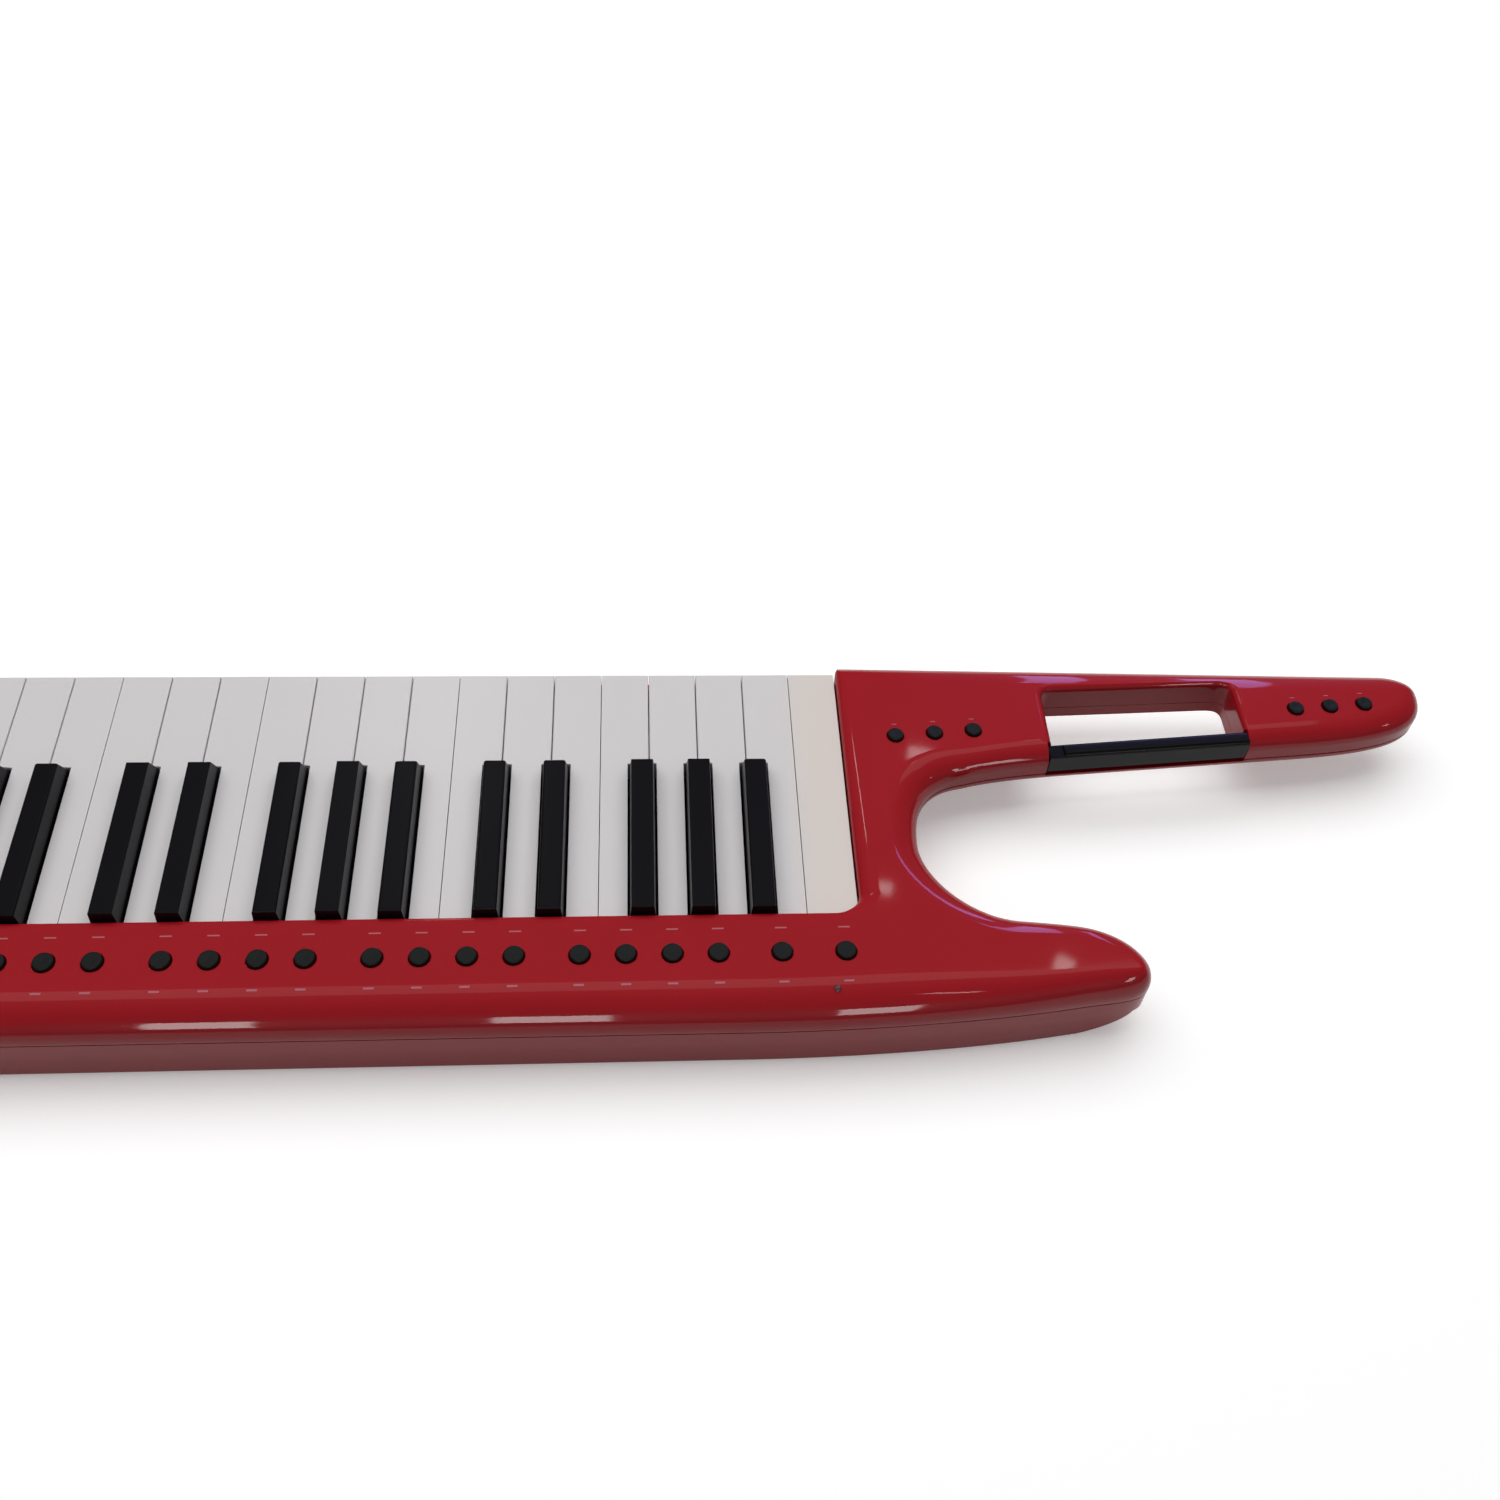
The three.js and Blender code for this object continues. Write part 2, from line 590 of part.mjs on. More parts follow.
// Each gang of buttons moulded in one piece: its caps' places, cap radius and name.
function gangs() {
  const panel = (start, count, pitch) =>
    Array.from({ length: count }, (_, i) => point(start + i * pitch, ROW));
  const neck = (start, pitch) =>
    Array.from({ length: 3 }, (_, i) => {
      const reach = start + i * pitch;
      return point(-reach, rearEdge(reach) - NECK_BUTTON_INSET);
    });
  const all = [{ name: "panel_buttons_pair", caps: panel(PAIR_START, 2, PAIR_PITCH) }];
  for (let quad = 0; quad < QUAD_COUNT; quad++) {
    const caps = panel(QUAD_START + quad * QUAD_STEP, 4, BUTTON_PITCH);
    all.push({ name: "panel_buttons_" + (quad + 1), caps });
  }
  all.forEach((gang) => (gang.radius = PANEL_BUTTON_RADIUS));
  const base = { caps: neck(NECK_BUTTON_START, NECK_BUTTON_PITCH), radius: NECK_BUTTON_RADIUS };
  const tip = { caps: neck(TIP_BUTTON_START, TIP_BUTTON_PITCH), radius: NECK_BUTTON_RADIUS };
  all.push({ name: "neck_base_buttons", ...base }, { name: "neck_tip_buttons", ...tip });
  return all;
}

// One gang: a strip under the panel that carries the caps.
function buttonGang({ caps, radius }) {
  const reach = radius + WEB_MARGIN;
  const first = caps[0];
  const last = caps[caps.length - 1];
  const lean = Math.atan2(last.y - first.y, last.x - first.x);
  const strip = new THREE.Shape();
  strip.absarc(first.x, first.y, reach, lean + Math.PI / 2, lean + Math.PI * 1.5, false);
  strip.absarc(last.x, last.y, reach, lean - Math.PI / 2, lean + Math.PI / 2, false);
  const web = prism(strip, WEB_LOW, WEB_TOP);
  return caps.reduce((gang, cap) => {
    const profile = [
      point(0, WEB_LOW + LAP),
      point(radius, WEB_LOW + LAP),
      point(radius, CASE_HEIGHT + BUTTON_PROUD - BUTTON_DOME),
      point(radius - BUTTON_DOME, CASE_HEIGHT + BUTTON_PROUD),
      point(0, CASE_HEIGHT + BUTTON_PROUD),
    ];
    const geometry = new THREE.LatheGeometry(profile, CAP_SIDES);
    geometry.rotateX(Math.PI / 2);
    geometry.translate(cap.x, cap.y, 0);
    return gang.add(solid(geometry));
  }, web);
}

function buttonHoles() {
  const holes = gangs().flatMap(({ caps, radius }) =>
    caps.map((cap) =>
      column(cap.x, cap.y, WEB_LOW, CASE_HEIGHT + OVERRUN, radius + RUNNING_GAP, CAP_SIDES),
    ),
  );
  return holes.reduce((all, next) => all.add(next));
}

// Places of the posts that hang from the panel and carry the control board.
function postPlaces() {
  const row = BOARD_START + BOARD_DEPTH - POST_RADIUS - KEY_WALL;
  return POST_SHARES.map((share) => [KEY_WALL + BOARD_LENGTH * share, row]);
}

function upperCase() {
  const shell = stack(upperRings(0, SEAM_HEIGHT, RIM_STEPS));
  const top = CASE_HEIGHT - CASE_WALL;
  const lipLow = WHITE_TOP + LIP_CLEARANCE;
  const cheeks = keySpace(CASE_WALL, SEAM_HEIGHT - OVERRUN, CASE_HEIGHT).subtract(
    keySpace(0, SEAM_HEIGHT - 2 * OVERRUN, top),
  );
  const lip = block(0, KEYBED, WHITE_LENGTH, WHITE_LENGTH + PANEL_LIP, lipLow, top + LAP);
  const gripWalls = prism(gripShape(CASE_WALL), SEAM_HEIGHT - OVERRUN, CASE_HEIGHT);
  const pocketWalls = prism(pocketShape(CASE_WALL), SEAM_HEIGHT - OVERRUN, CASE_HEIGHT);
  const hollow = stack(upperRings(CASE_WALL, SEAM_HEIGHT - OVERRUN, INNER_STEPS))
    .subtract(cheeks)
    .subtract(lip)
    .subtract(gripWalls)
    .subtract(pocketWalls);
  const bosses = bossColumns(SEAM_HEIGHT, CASE_HEIGHT - LAP).intersect(shell);
  const posts = postPlaces()
    .map(([x, y]) => column(x, y, BOARD_TOP + SEAT_GAP, top + LAP, POST_RADIUS, BOSS_SIDES))
    .reduce((all, next) => all.add(next));
  return shell
    .subtract(hollow)
    .add(bosses)
    .add(posts)
    .subtract(bayCutter())
    .subtract(keySpace(0, SEAM_HEIGHT - OVERRUN, lipLow))
    .subtract(prism(gripShape(0), SEAM_HEIGHT - OVERRUN, CASE_HEIGHT + OVERRUN))
    .subtract(prism(pocketShape(RUNNING_GAP), SEAM_HEIGHT - OVERRUN, CASE_HEIGHT + OVERRUN))
    .subtract(buttonHoles());
}

// What is cut away under the neck, between the body's end and the tip.
function underNeck() {
  const wall = CHEEK_FACE - CASE_WALL;
  const shape = new THREE.Shape();
  shape.moveTo(-wall, -OVERRUN);
  shape.lineTo(-wall, NECK_LOW - ROOT_FILLET);
  shape.absarc(-wall - ROOT_FILLET, NECK_LOW - ROOT_FILLET, ROOT_FILLET, 0, Math.PI / 2);
  shape.lineTo(-NECK_REACH - OVERRUN, NECK_LOW);
  shape.lineTo(-NECK_REACH - OVERRUN, -OVERRUN);
  return crosswise(shape, -CASE_FRONT - OVERRUN, REAR / 2);
}

// What is cut away under the horn, so that its underside sweeps up to the tip.
function underHorn() {
  const start = hornReach(UNDER_HORN_SHARES.start);
  const pull = hornReach(UNDER_HORN_SHARES.pull);
  const shape = new THREE.Shape();
  shape.moveTo(-start, -OVERRUN);
  shape.lineTo(-start, 0);
  shape.quadraticCurveTo(-pull, 0, -HORN_REACH - LAP, HORN_LIFT);
  shape.lineTo(-HORN_REACH - OVERRUN, HORN_LIFT);
  shape.lineTo(-HORN_REACH - OVERRUN, -OVERRUN);
  return crosswise(shape, REAR / 2, REAR + OVERRUN);
}

function lowerCase() {
  const rim = { inset: 0, height: LOWER_TOP };
  const step = [
    { inset: STEP_INSET, height: STEP_HEIGHT - STEP_INSET },
    { inset: 0, height: STEP_HEIGHT },
    rim,
  ];
  const body = stack(trayRings(0, FOOT_RADIUS, STEP_INSET, step, UNDER_STEPS))
    .subtract(underNeck())
    .subtract(underHorn());
  const front = -CASE_FRONT - OVERRUN;
  const neckSpan = block(-NECK_REACH - OVERRUN, -CHEEK_FACE, front, REAR / 2, 0, CASE_HEIGHT);
  const neckRings = trayRings(NECK_LOW, NECK_UNDER_RADIUS, 0, [rim], UNDER_STEPS);
  const neck = stack(neckRings).intersect(neckSpan);
  const rear = REAR + OVERRUN;
  const bodyEnd = TREBLE_END + OVERRUN;
  const bodySpan = block(-CHEEK_FACE - LAP, bodyEnd, front, rear, -OVERRUN, CASE_HEIGHT).add(
    block(-HORN_REACH - OVERRUN, 0, REAR / 2, rear, -OVERRUN, CASE_HEIGHT),
  );
  const shell = body.intersect(bodySpan).add(neck);
  const cavityInset = CASE_WALL + STEP_INSET;
  const cavityTop = [{ inset: cavityInset, height: LOWER_TOP + OVERRUN }];
  const neckFloor = NECK_LOW + CASE_WALL;
  const rootWall = 2 * CASE_WALL - CHEEK_FACE;
  const hornFloorEnd = -hornReach(UNDER_HORN_SHARES.floor);
  const bodyRings = trayRings(CASE_WALL, FOOT_RADIUS, cavityInset, cavityTop, INNER_STEPS);
  const bodyCavity = stack(bodyRings)
    .intersect(bodySpan)
    .subtract(block(-NECK_REACH, rootWall, -CASE_FRONT, REAR / 2, 0, neckFloor))
    .subtract(block(-HORN_REACH, hornFloorEnd, REAR / 2, REAR, 0, HORN_LIFT + CASE_WALL));
  const limbRings = trayRings(neckFloor, CASE_WALL, CASE_WALL, cavityTop, INNER_STEPS);
  const neckCavity = stack(limbRings)
    .intersect(neckSpan)
    .subtract(prism(gripShape(CASE_WALL), 0, CASE_HEIGHT))
    .subtract(prism(pocketShape(CASE_WALL), 0, CASE_HEIGHT));
  const bosses = bossColumns(LAP, LOWER_TOP).intersect(shell);
  return shell
    .subtract(bodyCavity)
    .subtract(neckCavity)
    .add(bosses)
    .add(rearRibs())
    .subtract(screwRecesses())
    .subtract(prism(bayShape(0), FRONT_WALL_HEIGHT, CASE_HEIGHT))
    .subtract(keySpace(0, PLATE_LOW, LOWER_TOP + OVERRUN).subtract(frontWall()))
    .subtract(prism(gripShape(0), 0, CASE_HEIGHT))
    .subtract(prism(pocketShape(RUNNING_GAP), RAIL_SEAT, CASE_HEIGHT))
    .subtract(stemHoles())
    .subtract(jackWindow());
}

// The wall in front of the keys, which the bay's cut leaves standing.
function frontWall() {
  const front = -CASE_FRONT - OVERRUN;
  const end = KEYBED + KEYBED_CLEARANCE;
  return block(-KEYBED_CLEARANCE, end, front, -KEYBED_CLEARANCE, 0, CASE_HEIGHT);
}

function rearRibs() {
  const step = KEYBED / RIB_COUNT;
  const start = TAIL_END + 2 * KEYBED_CLEARANCE;
  const low = CASE_WALL - LAP;
  const ribs = Array.from({ length: RIB_COUNT }, (_, i) => {
    const x = step * i;
    return block(x, x + RIB_THICKNESS, start, REAR - CASE_WALL, low, CASE_WALL + RIB_HEIGHT);
  });
  return ribs.reduce((all, next) => all.add(next));
}

// Recesses for the screws' heads, in the underside.
function screwRecesses() {
  const recesses = bossPlaces().map(([x, y]) => {
    const horn = y > WHITE_LENGTH && x < -CHEEK_FACE;
    const neck = y < REAR / 2 && x < -CHEEK_FACE;
    const low = neck ? NECK_LOW : horn ? HORN_LIFT / 2 : 0;
    const depth = neck ? SCREW_DEPTH / 2 : SCREW_DEPTH;
    return column(x, y, low - OVERRUN, low + depth, SCREW_RADIUS, BOSS_SIDES);
  });
  return recesses.reduce((all, next) => all.add(next));
}

// Places of the two stems under the expression bar, as reach from the keys.
function stemReaches() {
  return [GRIP_START + STEM_INSET, GRIP_START + GRIP_LENGTH - STEM_INSET];
}

function stemPlace(reach) {
  return point(-reach, rearEdge(reach) - BAR_WIDTH / 2);
}

function stemHoles() {
  const low = BAR_LOW - STEM_LENGTH - BAR_TRAVEL - RUNNING_GAP;
  const holes = stemReaches().map((reach) => {
    const { x, y } = stemPlace(reach);
    return column(x, y, low, CASE_HEIGHT, STEM_RADIUS + RUNNING_GAP, BOSS_SIDES);
  });
  return holes[0].add(holes[1]);
}

// The bar that is pressed down along the neck's rear edge.
function expressionBar() {
  const start = GRIP_START - BAR_POCKET;
  const end = GRIP_START + GRIP_LENGTH + BAR_POCKET;
  const run = Math.hypot(end - start, rearEdge(start) - rearEdge(end));
  const shape = new THREE.Shape();
  shape.moveTo(-BAR_WIDTH, BAR_LOW);
  shape.lineTo(0, BAR_LOW);
  shape.lineTo(0, BAR_TOP - BAR_EDGE);
  shape.absarc(-BAR_EDGE, BAR_TOP - BAR_EDGE, BAR_EDGE, 0, Math.PI / 2);
  shape.absarc(BAR_EDGE - BAR_WIDTH, BAR_TOP - BAR_EDGE, BAR_EDGE, Math.PI / 2, Math.PI);
  const options = { depth: run, bevelEnabled: false, curveSegments: RIM_STEPS };
  const geometry = new THREE.ExtrudeGeometry(shape, options);
  const lean = Math.atan(REAR_SLOPE_SHARE);
  const turn = new THREE.Matrix4().makeBasis(
    new THREE.Vector3(-Math.sin(lean), Math.cos(lean), 0),
    new THREE.Vector3(0, 0, 1),
    new THREE.Vector3(Math.cos(lean), Math.sin(lean), 0),
  );
  geometry.applyMatrix4(turn);
  geometry.translate(-end, rearEdge(end), 0);
  const stems = stemReaches().map((reach) => {
    const { x, y } = stemPlace(reach);
    return column(x, y, BAR_LOW - STEM_LENGTH, BAR_LOW + LAP, STEM_RADIUS, BOSS_SIDES);
  });
  return solid(geometry).add(stems[0]).add(stems[1]);
}

// The chassis: one section along the keyboard, with a guide post for each white key.
function keyChassis() {
  const web = RAIL_THICKNESS / 2;
  const wall = HINGE_WALL / 2;
  const plateTop = PLATE_LOW + PLATE_THICKNESS;
  const mouth = Math.asin(wall / HINGE_RADIUS);
  const section = new THREE.Shape();
  section.moveTo(RAIL_SETBACK - web, PLATE_LOW);
  section.lineTo(PIVOT + wall, PLATE_LOW);
  const right = mouth - Math.PI / 2;
  section.absarc(PIVOT, PIVOT_HEIGHT, HINGE_RADIUS, right, Math.PI - right, false);
  section.lineTo(PIVOT - wall, plateTop);
  section.lineTo(RAIL_SETBACK + web, plateTop);
  section.lineTo(RAIL_SETBACK + web, RAIL_TOP - RAIL_THICKNESS);
  section.lineTo(RAIL_REAR, RAIL_TOP - RAIL_THICKNESS);
  section.lineTo(RAIL_REAR, RAIL_TOP);
  section.lineTo(RAIL_FRONT, RAIL_TOP);
  section.lineTo(RAIL_FRONT, RAIL_TOP - RAIL_THICKNESS);
  section.lineTo(RAIL_SETBACK - web, RAIL_TOP - RAIL_THICKNESS);
  const inside = WHITE_PITCH - KEY_GAP - 2 * KEY_WALL - 2 * RUNNING_GAP;
  const postTop = WHITE_TOP - KEY_ROOF - DIP_AT_RAIL - FELT_ROOM;
  const postFront = RAIL_FRONT + KEYBED_CLEARANCE;
  const posts = Array.from({ length: WHITE_COUNT }, (_, i) => {
    const middle = (i + 0.5) * WHITE_PITCH;
    const left = middle - inside / 2;
    return block(left, left + inside, postFront, postFront + GUIDE_DEPTH, RAIL_TOP - LAP, postTop);
  });
  return posts.reduce((all, next) => all.add(next), lengthwise(section, 0, KEYBED));
}

// A key's tail, whose round notch sits over the chassis's hinge edge.
function keyTail(x0, x1) {
  const notch = HINGE_RADIUS + RUNNING_GAP;
  const low = PIVOT_HEIGHT - TAIL_DROP;
  const mouth = Math.acos(HINGE_WALL / notch);
  const shape = new THREE.Shape();
  shape.moveTo(TAIL_START, low);
  shape.lineTo(PIVOT - notch * Math.cos(mouth), low);
  shape.absarc(PIVOT, PIVOT_HEIGHT, notch, Math.PI + mouth, -mouth, true);
  shape.lineTo(PIVOT + notch * Math.cos(mouth), low);
  shape.lineTo(TAIL_END, low);
  shape.lineTo(TAIL_END, WHITE_TOP);
  shape.lineTo(TAIL_START, WHITE_TOP);
  return lengthwise(shape, x0, x1);
}

// A key's hook: a stem down past the rail and a toe under it, which stops the key at the top.
function keyHook(middle, stemOuter, stemInner, toeEnd, top) {
  const low = TOE_TOP - TOE_HEIGHT;
  const side = [
    point(stemOuter, top),
    point(stemOuter, low),
    point(toeEnd, low),
    point(toeEnd, TOE_TOP),
    point(stemInner, TOE_TOP),
    point(stemInner, top),
  ];
  return lengthwise(side, middle - HOOK_WIDTH / 2, middle + HOOK_WIDTH / 2);
}

// The blacks' middles, by the number of the white key on their bass side.
function blackMiddles() {
  const middles = new Map();
  for (let i = 0; i + 1 < WHITE_COUNT; i++) {
    const share = BLACK_SHIFT_SHARES[WHITE_NAMES[i % WHITE_NAMES.length]];
    if (share !== undefined) middles.set(i, (i + 1 + share) * WHITE_PITCH);
  }
  return middles;
}

// A white key: a shell open below, with its lip, hook and tail; blacks beside it narrow its rear part.
function whiteKey(i, middles) {
  const x0 = i * WHITE_PITCH + KEY_GAP / 2;
  const x1 = (i + 1) * WHITE_PITCH - KEY_GAP / 2;
  const room = BLACK_WIDTH / 2 + KEY_GAP;
  const left = middles.has(i - 1) ? middles.get(i - 1) + room : x0;
  const right = middles.has(i) ? middles.get(i) - room : x1;
  const waist = BLACK_SETBACK - KEY_GAP;
  const outline = (inset, front, rear) => [
    point(x0 + inset, front),
    point(x1 - inset, front),
    point(x1 - inset, waist - inset),
    point(right - inset, waist - inset),
    point(right - inset, rear),
    point(left + inset, rear),
    point(left + inset, waist - inset),
    point(x0 + inset, waist - inset),
  ];
  const clean = (points) => points.filter((here, n) => !here.equals(points.at(n - 1)));
  const roof = WHITE_TOP - KEY_ROOF;
  const outer = prism(clean(outline(0, 0, TAIL_START + KEY_WALL)), SKIRT_LOW, WHITE_TOP);
  const inner = prism(clean(outline(KEY_WALL, KEY_WALL, TAIL_START)), SKIRT_LOW - OVERRUN, roof);
  const lip = block(x0, x1, 0, KEY_WALL, WHITE_TOP - WHITE_LIP, SKIRT_LOW + LAP);
  const middle = (x0 + x1) / 2;
  const stemRear = RAIL_FRONT - KEYBED_CLEARANCE;
  const hook = keyHook(middle, stemRear - HOOK_WALL, stemRear, RAIL_FRONT + TOE_REACH, roof + LAP);
  return outer.subtract(inner).add(lip).add(hook).add(keyTail(left, right));
}

// A black key: a tapered crown over straight sides, hollow below, with its hook and tail.
function blackKey(middle) {
  const half = BLACK_WIDTH / 2;
  const crown = BLACK_CROWN / 2;
  const rear = WHITE_LENGTH - KEYBED_CLEARANCE;
  const foot = [middle - half, middle + half, BLACK_SETBACK, rear];
  const ridge = [middle - crown, middle + crown, BLACK_SETBACK + BLACK_NOSE, rear];
  const front = BLACK_SETBACK + KEY_WALL;
  const tailFront = TAIL_START + KEY_WALL;
  const base = block(foot[0], foot[1], BLACK_SETBACK, tailFront, SKIRT_LOW, WHITE_TOP);
  const top = taper(foot, WHITE_TOP - LAP / 2, ridge, WHITE_TOP + BLACK_RISE);
  const inside = half - KEY_WALL;
  const within = crown - KEY_WALL;
  const low = SKIRT_LOW - OVERRUN;
  const roof = WHITE_TOP - KEY_ROOF;
  const wide = block(middle - inside, middle + inside, front, TAIL_START, low, roof);
  const peak = WHITE_TOP + BLACK_RISE - BLACK_ROOF;
  const crownFront = front + BLACK_NOSE;
  const narrow = block(middle - within, middle + within, crownFront, rear - KEY_WALL, low, peak);
  const stemFront = RAIL_REAR + KEYBED_CLEARANCE;
  const hook = keyHook(middle, stemFront + HOOK_WALL, stemFront, RAIL_REAR - TOE_REACH, peak + LAP);
  const tail = keyTail(middle - half, middle + half);
  return base.add(top).subtract(wide).subtract(narrow).add(hook).add(tail);
}

function controlBoard() {
  const end = KEY_WALL + BOARD_LENGTH;
  const rear = BOARD_START + BOARD_DEPTH;
  return block(KEY_WALL, end, BOARD_START, rear, BOARD_TOP - BOARD_THICKNESS, BOARD_TOP);
}

// Inner face of the treble end's wall under the step, where the jack plate lies.
function plateFace() {
  return TREBLE_END - STEP_INSET - CASE_WALL - SEAT_GAP;
}

function jackWindow() {
  return block(
    TREBLE_END - STEP_INSET - CASE_WALL - OVERRUN,
    TREBLE_END + OVERRUN,
    PLATE_START + PLATE_LAP,
    PLATE_START + PLATE_DEPTH - PLATE_LAP,
    PLATE_LIFT + PLATE_LAP,
    PLATE_LIFT + PLATE_HEIGHT - PLATE_LAP,
  );
}

// Sockets of the jack plate: a round multi-pin one, a jack and a power inlet.
function sockets() {
  return [
    { y: PLATE_START + PLATE_DEPTH * SOCKET_SHARES.din, radius: DIN_RADIUS },
    { y: PLATE_START + PLATE_DEPTH * SOCKET_SHARES.jack, radius: JACK_RADIUS },
    { y: PLATE_START + PLATE_DEPTH * SOCKET_SHARES.power, radius: POWER_RADIUS },
  ];
}

function jackPlate() {
  const face = plateFace();
  const floor = face - SOCKET_DEPTH;
  const top = PLATE_LIFT + PLATE_HEIGHT;
  const middle = PLATE_LIFT + PLATE_HEIGHT / 2;
  const end = PLATE_START + PLATE_DEPTH;
  let plate = block(face - PLATE_WALL, face, PLATE_START, end, PLATE_LIFT, top);
  for (const { y, radius } of sockets()) {
    const outer = radius + SOCKET_WALL;
    plate = plate.add(barrel(floor - SOCKET_WALL, face - LAP, y, middle, outer, SOCKET_SIDES));
  }
  for (const { y, radius } of sockets()) {
    plate = plate.subtract(barrel(floor, face + OVERRUN, y, middle, radius, SOCKET_SIDES));
  }
  return plate;
}

// A strap pin standing up from its base at the origin, base first.
function strapPin() {
  const profile = [
    point(0, 0),
    point(PIN_BASE_RADIUS, 0),
    point(PIN_BASE_RADIUS, PIN_BASE_LENGTH / 2),
    point(PIN_NECK_RADIUS, PIN_BASE_LENGTH),
    point(PIN_NECK_RADIUS, PIN_LENGTH - PIN_HEAD_LENGTH),
    point(PIN_HEAD_RADIUS, PIN_LENGTH - PIN_HEAD_LENGTH / 2),
    point(PIN_HEAD_RADIUS, PIN_LENGTH - PIN_HEAD_LENGTH / 4),
    point(PIN_HEAD_RADIUS - PIN_HEAD_LENGTH / 4, PIN_LENGTH),
    point(0, PIN_LENGTH),
  ];
  return new THREE.LatheGeometry(profile, SOCKET_SIDES);
}

function neckPin() {
  const geometry = strapPin();
  geometry.rotateX(-Math.PI / 2);
  geometry.translate(-NECK_PIN_REACH, NECK_PIN_SETBACK, NECK_LOW - SEAT_GAP);
  return solid(geometry);
}

function endPin() {
  const geometry = strapPin();
  geometry.rotateZ(-Math.PI / 2);
  geometry.translate(TREBLE_END + SEAT_GAP, END_PIN_SETBACK, CASE_HEIGHT - END_PIN_DROP);
  return solid(geometry);
}

// Finishes
const RED_SHELL = { color: 0x9b1622, roughness: 0.18, metalness: 0 };
const WHITE_KEY = { color: 0xd6d5d4, roughness: 0.3, metalness: 0 };
const BLACK_KEY = { color: 0x17181c, roughness: 0.35, metalness: 0 };
const BUTTON_RUBBER = { color: 0x26292a, roughness: 0.6, metalness: 0 };
const CHASSIS_PLASTIC = { color: 0x2c2d2f, roughness: 0.7, metalness: 0 };
const BOARD_GREEN = { color: 0x1d5a34, roughness: 0.5, metalness: 0 };
const PLATED_STEEL = { color: 0xb8babd, roughness: 0.25, metalness: 1 };

const instrument = new THREE.Group();

function place(name, shape, finish) {
  const { numProp, vertProperties, triVerts } = shape.getMesh();
  const geometry = new THREE.BufferGeometry();
  geometry.setAttribute("position", new THREE.BufferAttribute(vertProperties, numProp));
  geometry.setIndex(new THREE.BufferAttribute(triVerts, 1));
  geometry.computeVertexNormals();
  const mesh = new THREE.Mesh(geometry, new THREE.MeshStandardMaterial(finish));
  mesh.name = name;
  instrument.add(mesh);
}

function numbered(name, number) {
  return name + "_" + String(number).padStart(2, "0");
}

const middles = blackMiddles();
for (let i = 0; i < WHITE_COUNT; i++) {
  place(numbered("white_key", i + 1), whiteKey(i, middles), WHITE_KEY);
}
[...middles.values()].forEach((middle, i) => {
  place(numbered("black_key", i + 1), blackKey(middle), BLACK_KEY);
});
for (const gang of gangs()) {
  place(gang.name, buttonGang(gang), BUTTON_RUBBER);
}
place("expression_bar", expressionBar(), BLACK_KEY);
place("upper_case", upperCase(), RED_SHELL);
place("lower_case", lowerCase(), RED_SHELL);
place("key_chassis", keyChassis(), CHASSIS_PLASTIC);
place("control_board", controlBoard(), BOARD_GREEN);
place("jack_plate", jackPlate(), CHASSIS_PLASTIC);
place("strap_pin_neck", neckPin(), PLATED_STEEL);
place("strap_pin_end", endPin(), PLATED_STEEL);

const reachTreble = TREBLE_END + SEAT_GAP + PIN_LENGTH;
instrument.position.set((NECK_REACH - reachTreble) / 2, (CASE_FRONT - REAR) / 2, 0);

export default instrument;
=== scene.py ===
"""Looks of the keytar: smooth shells, edge-rounded keys, buttons, sockets, screws and finishes.

Lengths are millimetres in the keyboard's own frame, as in the part's source: X from the bass end of the
keys, Y from the key fronts towards the panel, Z up from the table. `Frame.at` turns them to metres in the
row frame, in which every mesh is built.
"""

from __future__ import annotations

import json
import logging
import math
from collections.abc import Callable, Iterable, Sequence
from dataclasses import dataclass, field
from enum import Enum

import bmesh
import bpy
from mathutils import Matrix, Vector

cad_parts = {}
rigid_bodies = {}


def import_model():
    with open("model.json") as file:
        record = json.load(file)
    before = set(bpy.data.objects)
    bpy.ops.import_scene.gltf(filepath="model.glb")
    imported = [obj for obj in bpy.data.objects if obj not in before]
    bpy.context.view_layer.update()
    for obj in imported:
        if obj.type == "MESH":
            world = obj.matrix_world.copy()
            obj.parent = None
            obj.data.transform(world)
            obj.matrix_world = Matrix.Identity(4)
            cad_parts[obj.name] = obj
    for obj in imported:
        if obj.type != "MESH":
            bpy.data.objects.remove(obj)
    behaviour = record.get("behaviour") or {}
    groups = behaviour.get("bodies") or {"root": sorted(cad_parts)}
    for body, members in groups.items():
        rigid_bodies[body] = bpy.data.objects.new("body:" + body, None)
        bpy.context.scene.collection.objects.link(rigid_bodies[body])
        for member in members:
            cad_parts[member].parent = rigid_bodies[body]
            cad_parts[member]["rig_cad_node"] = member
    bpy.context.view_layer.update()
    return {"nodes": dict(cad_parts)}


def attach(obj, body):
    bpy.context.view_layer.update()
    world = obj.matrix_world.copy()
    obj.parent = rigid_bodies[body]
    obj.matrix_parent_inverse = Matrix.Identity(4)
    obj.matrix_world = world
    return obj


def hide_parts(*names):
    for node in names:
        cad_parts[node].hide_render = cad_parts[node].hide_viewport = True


log = logging.getLogger("keytar")

Point = tuple[float, float]
Place = tuple[float, float, float]
Ring = list[Place]

CASE = "case"
MM = 0.001

SAME_PLACE = 0.01  # points closer than this are one point
SHARPEST = 0.4  # least cosine that stretches a grown outline's corner
OVERRUN = 8.0  # how far a rounded cutter runs past the top
QUARTER = math.pi / 2

# Where cutters end, in millimetres: past every face that they cut
AHEAD = -12.0
BEHIND = 210.0
BELOW = -6.0
ABOVE = 50.0
OVER_TOP = 46.0
PAST_TIP = -310.0
PAST_HORN = -140.0

# The fine groove where the two shells meet
GROOVE = 0.45  # inset of both edges
GROOVE_EASE = 0.1  # inset where the groove starts
GROOVE_RISE = 0.2  # height over which it opens


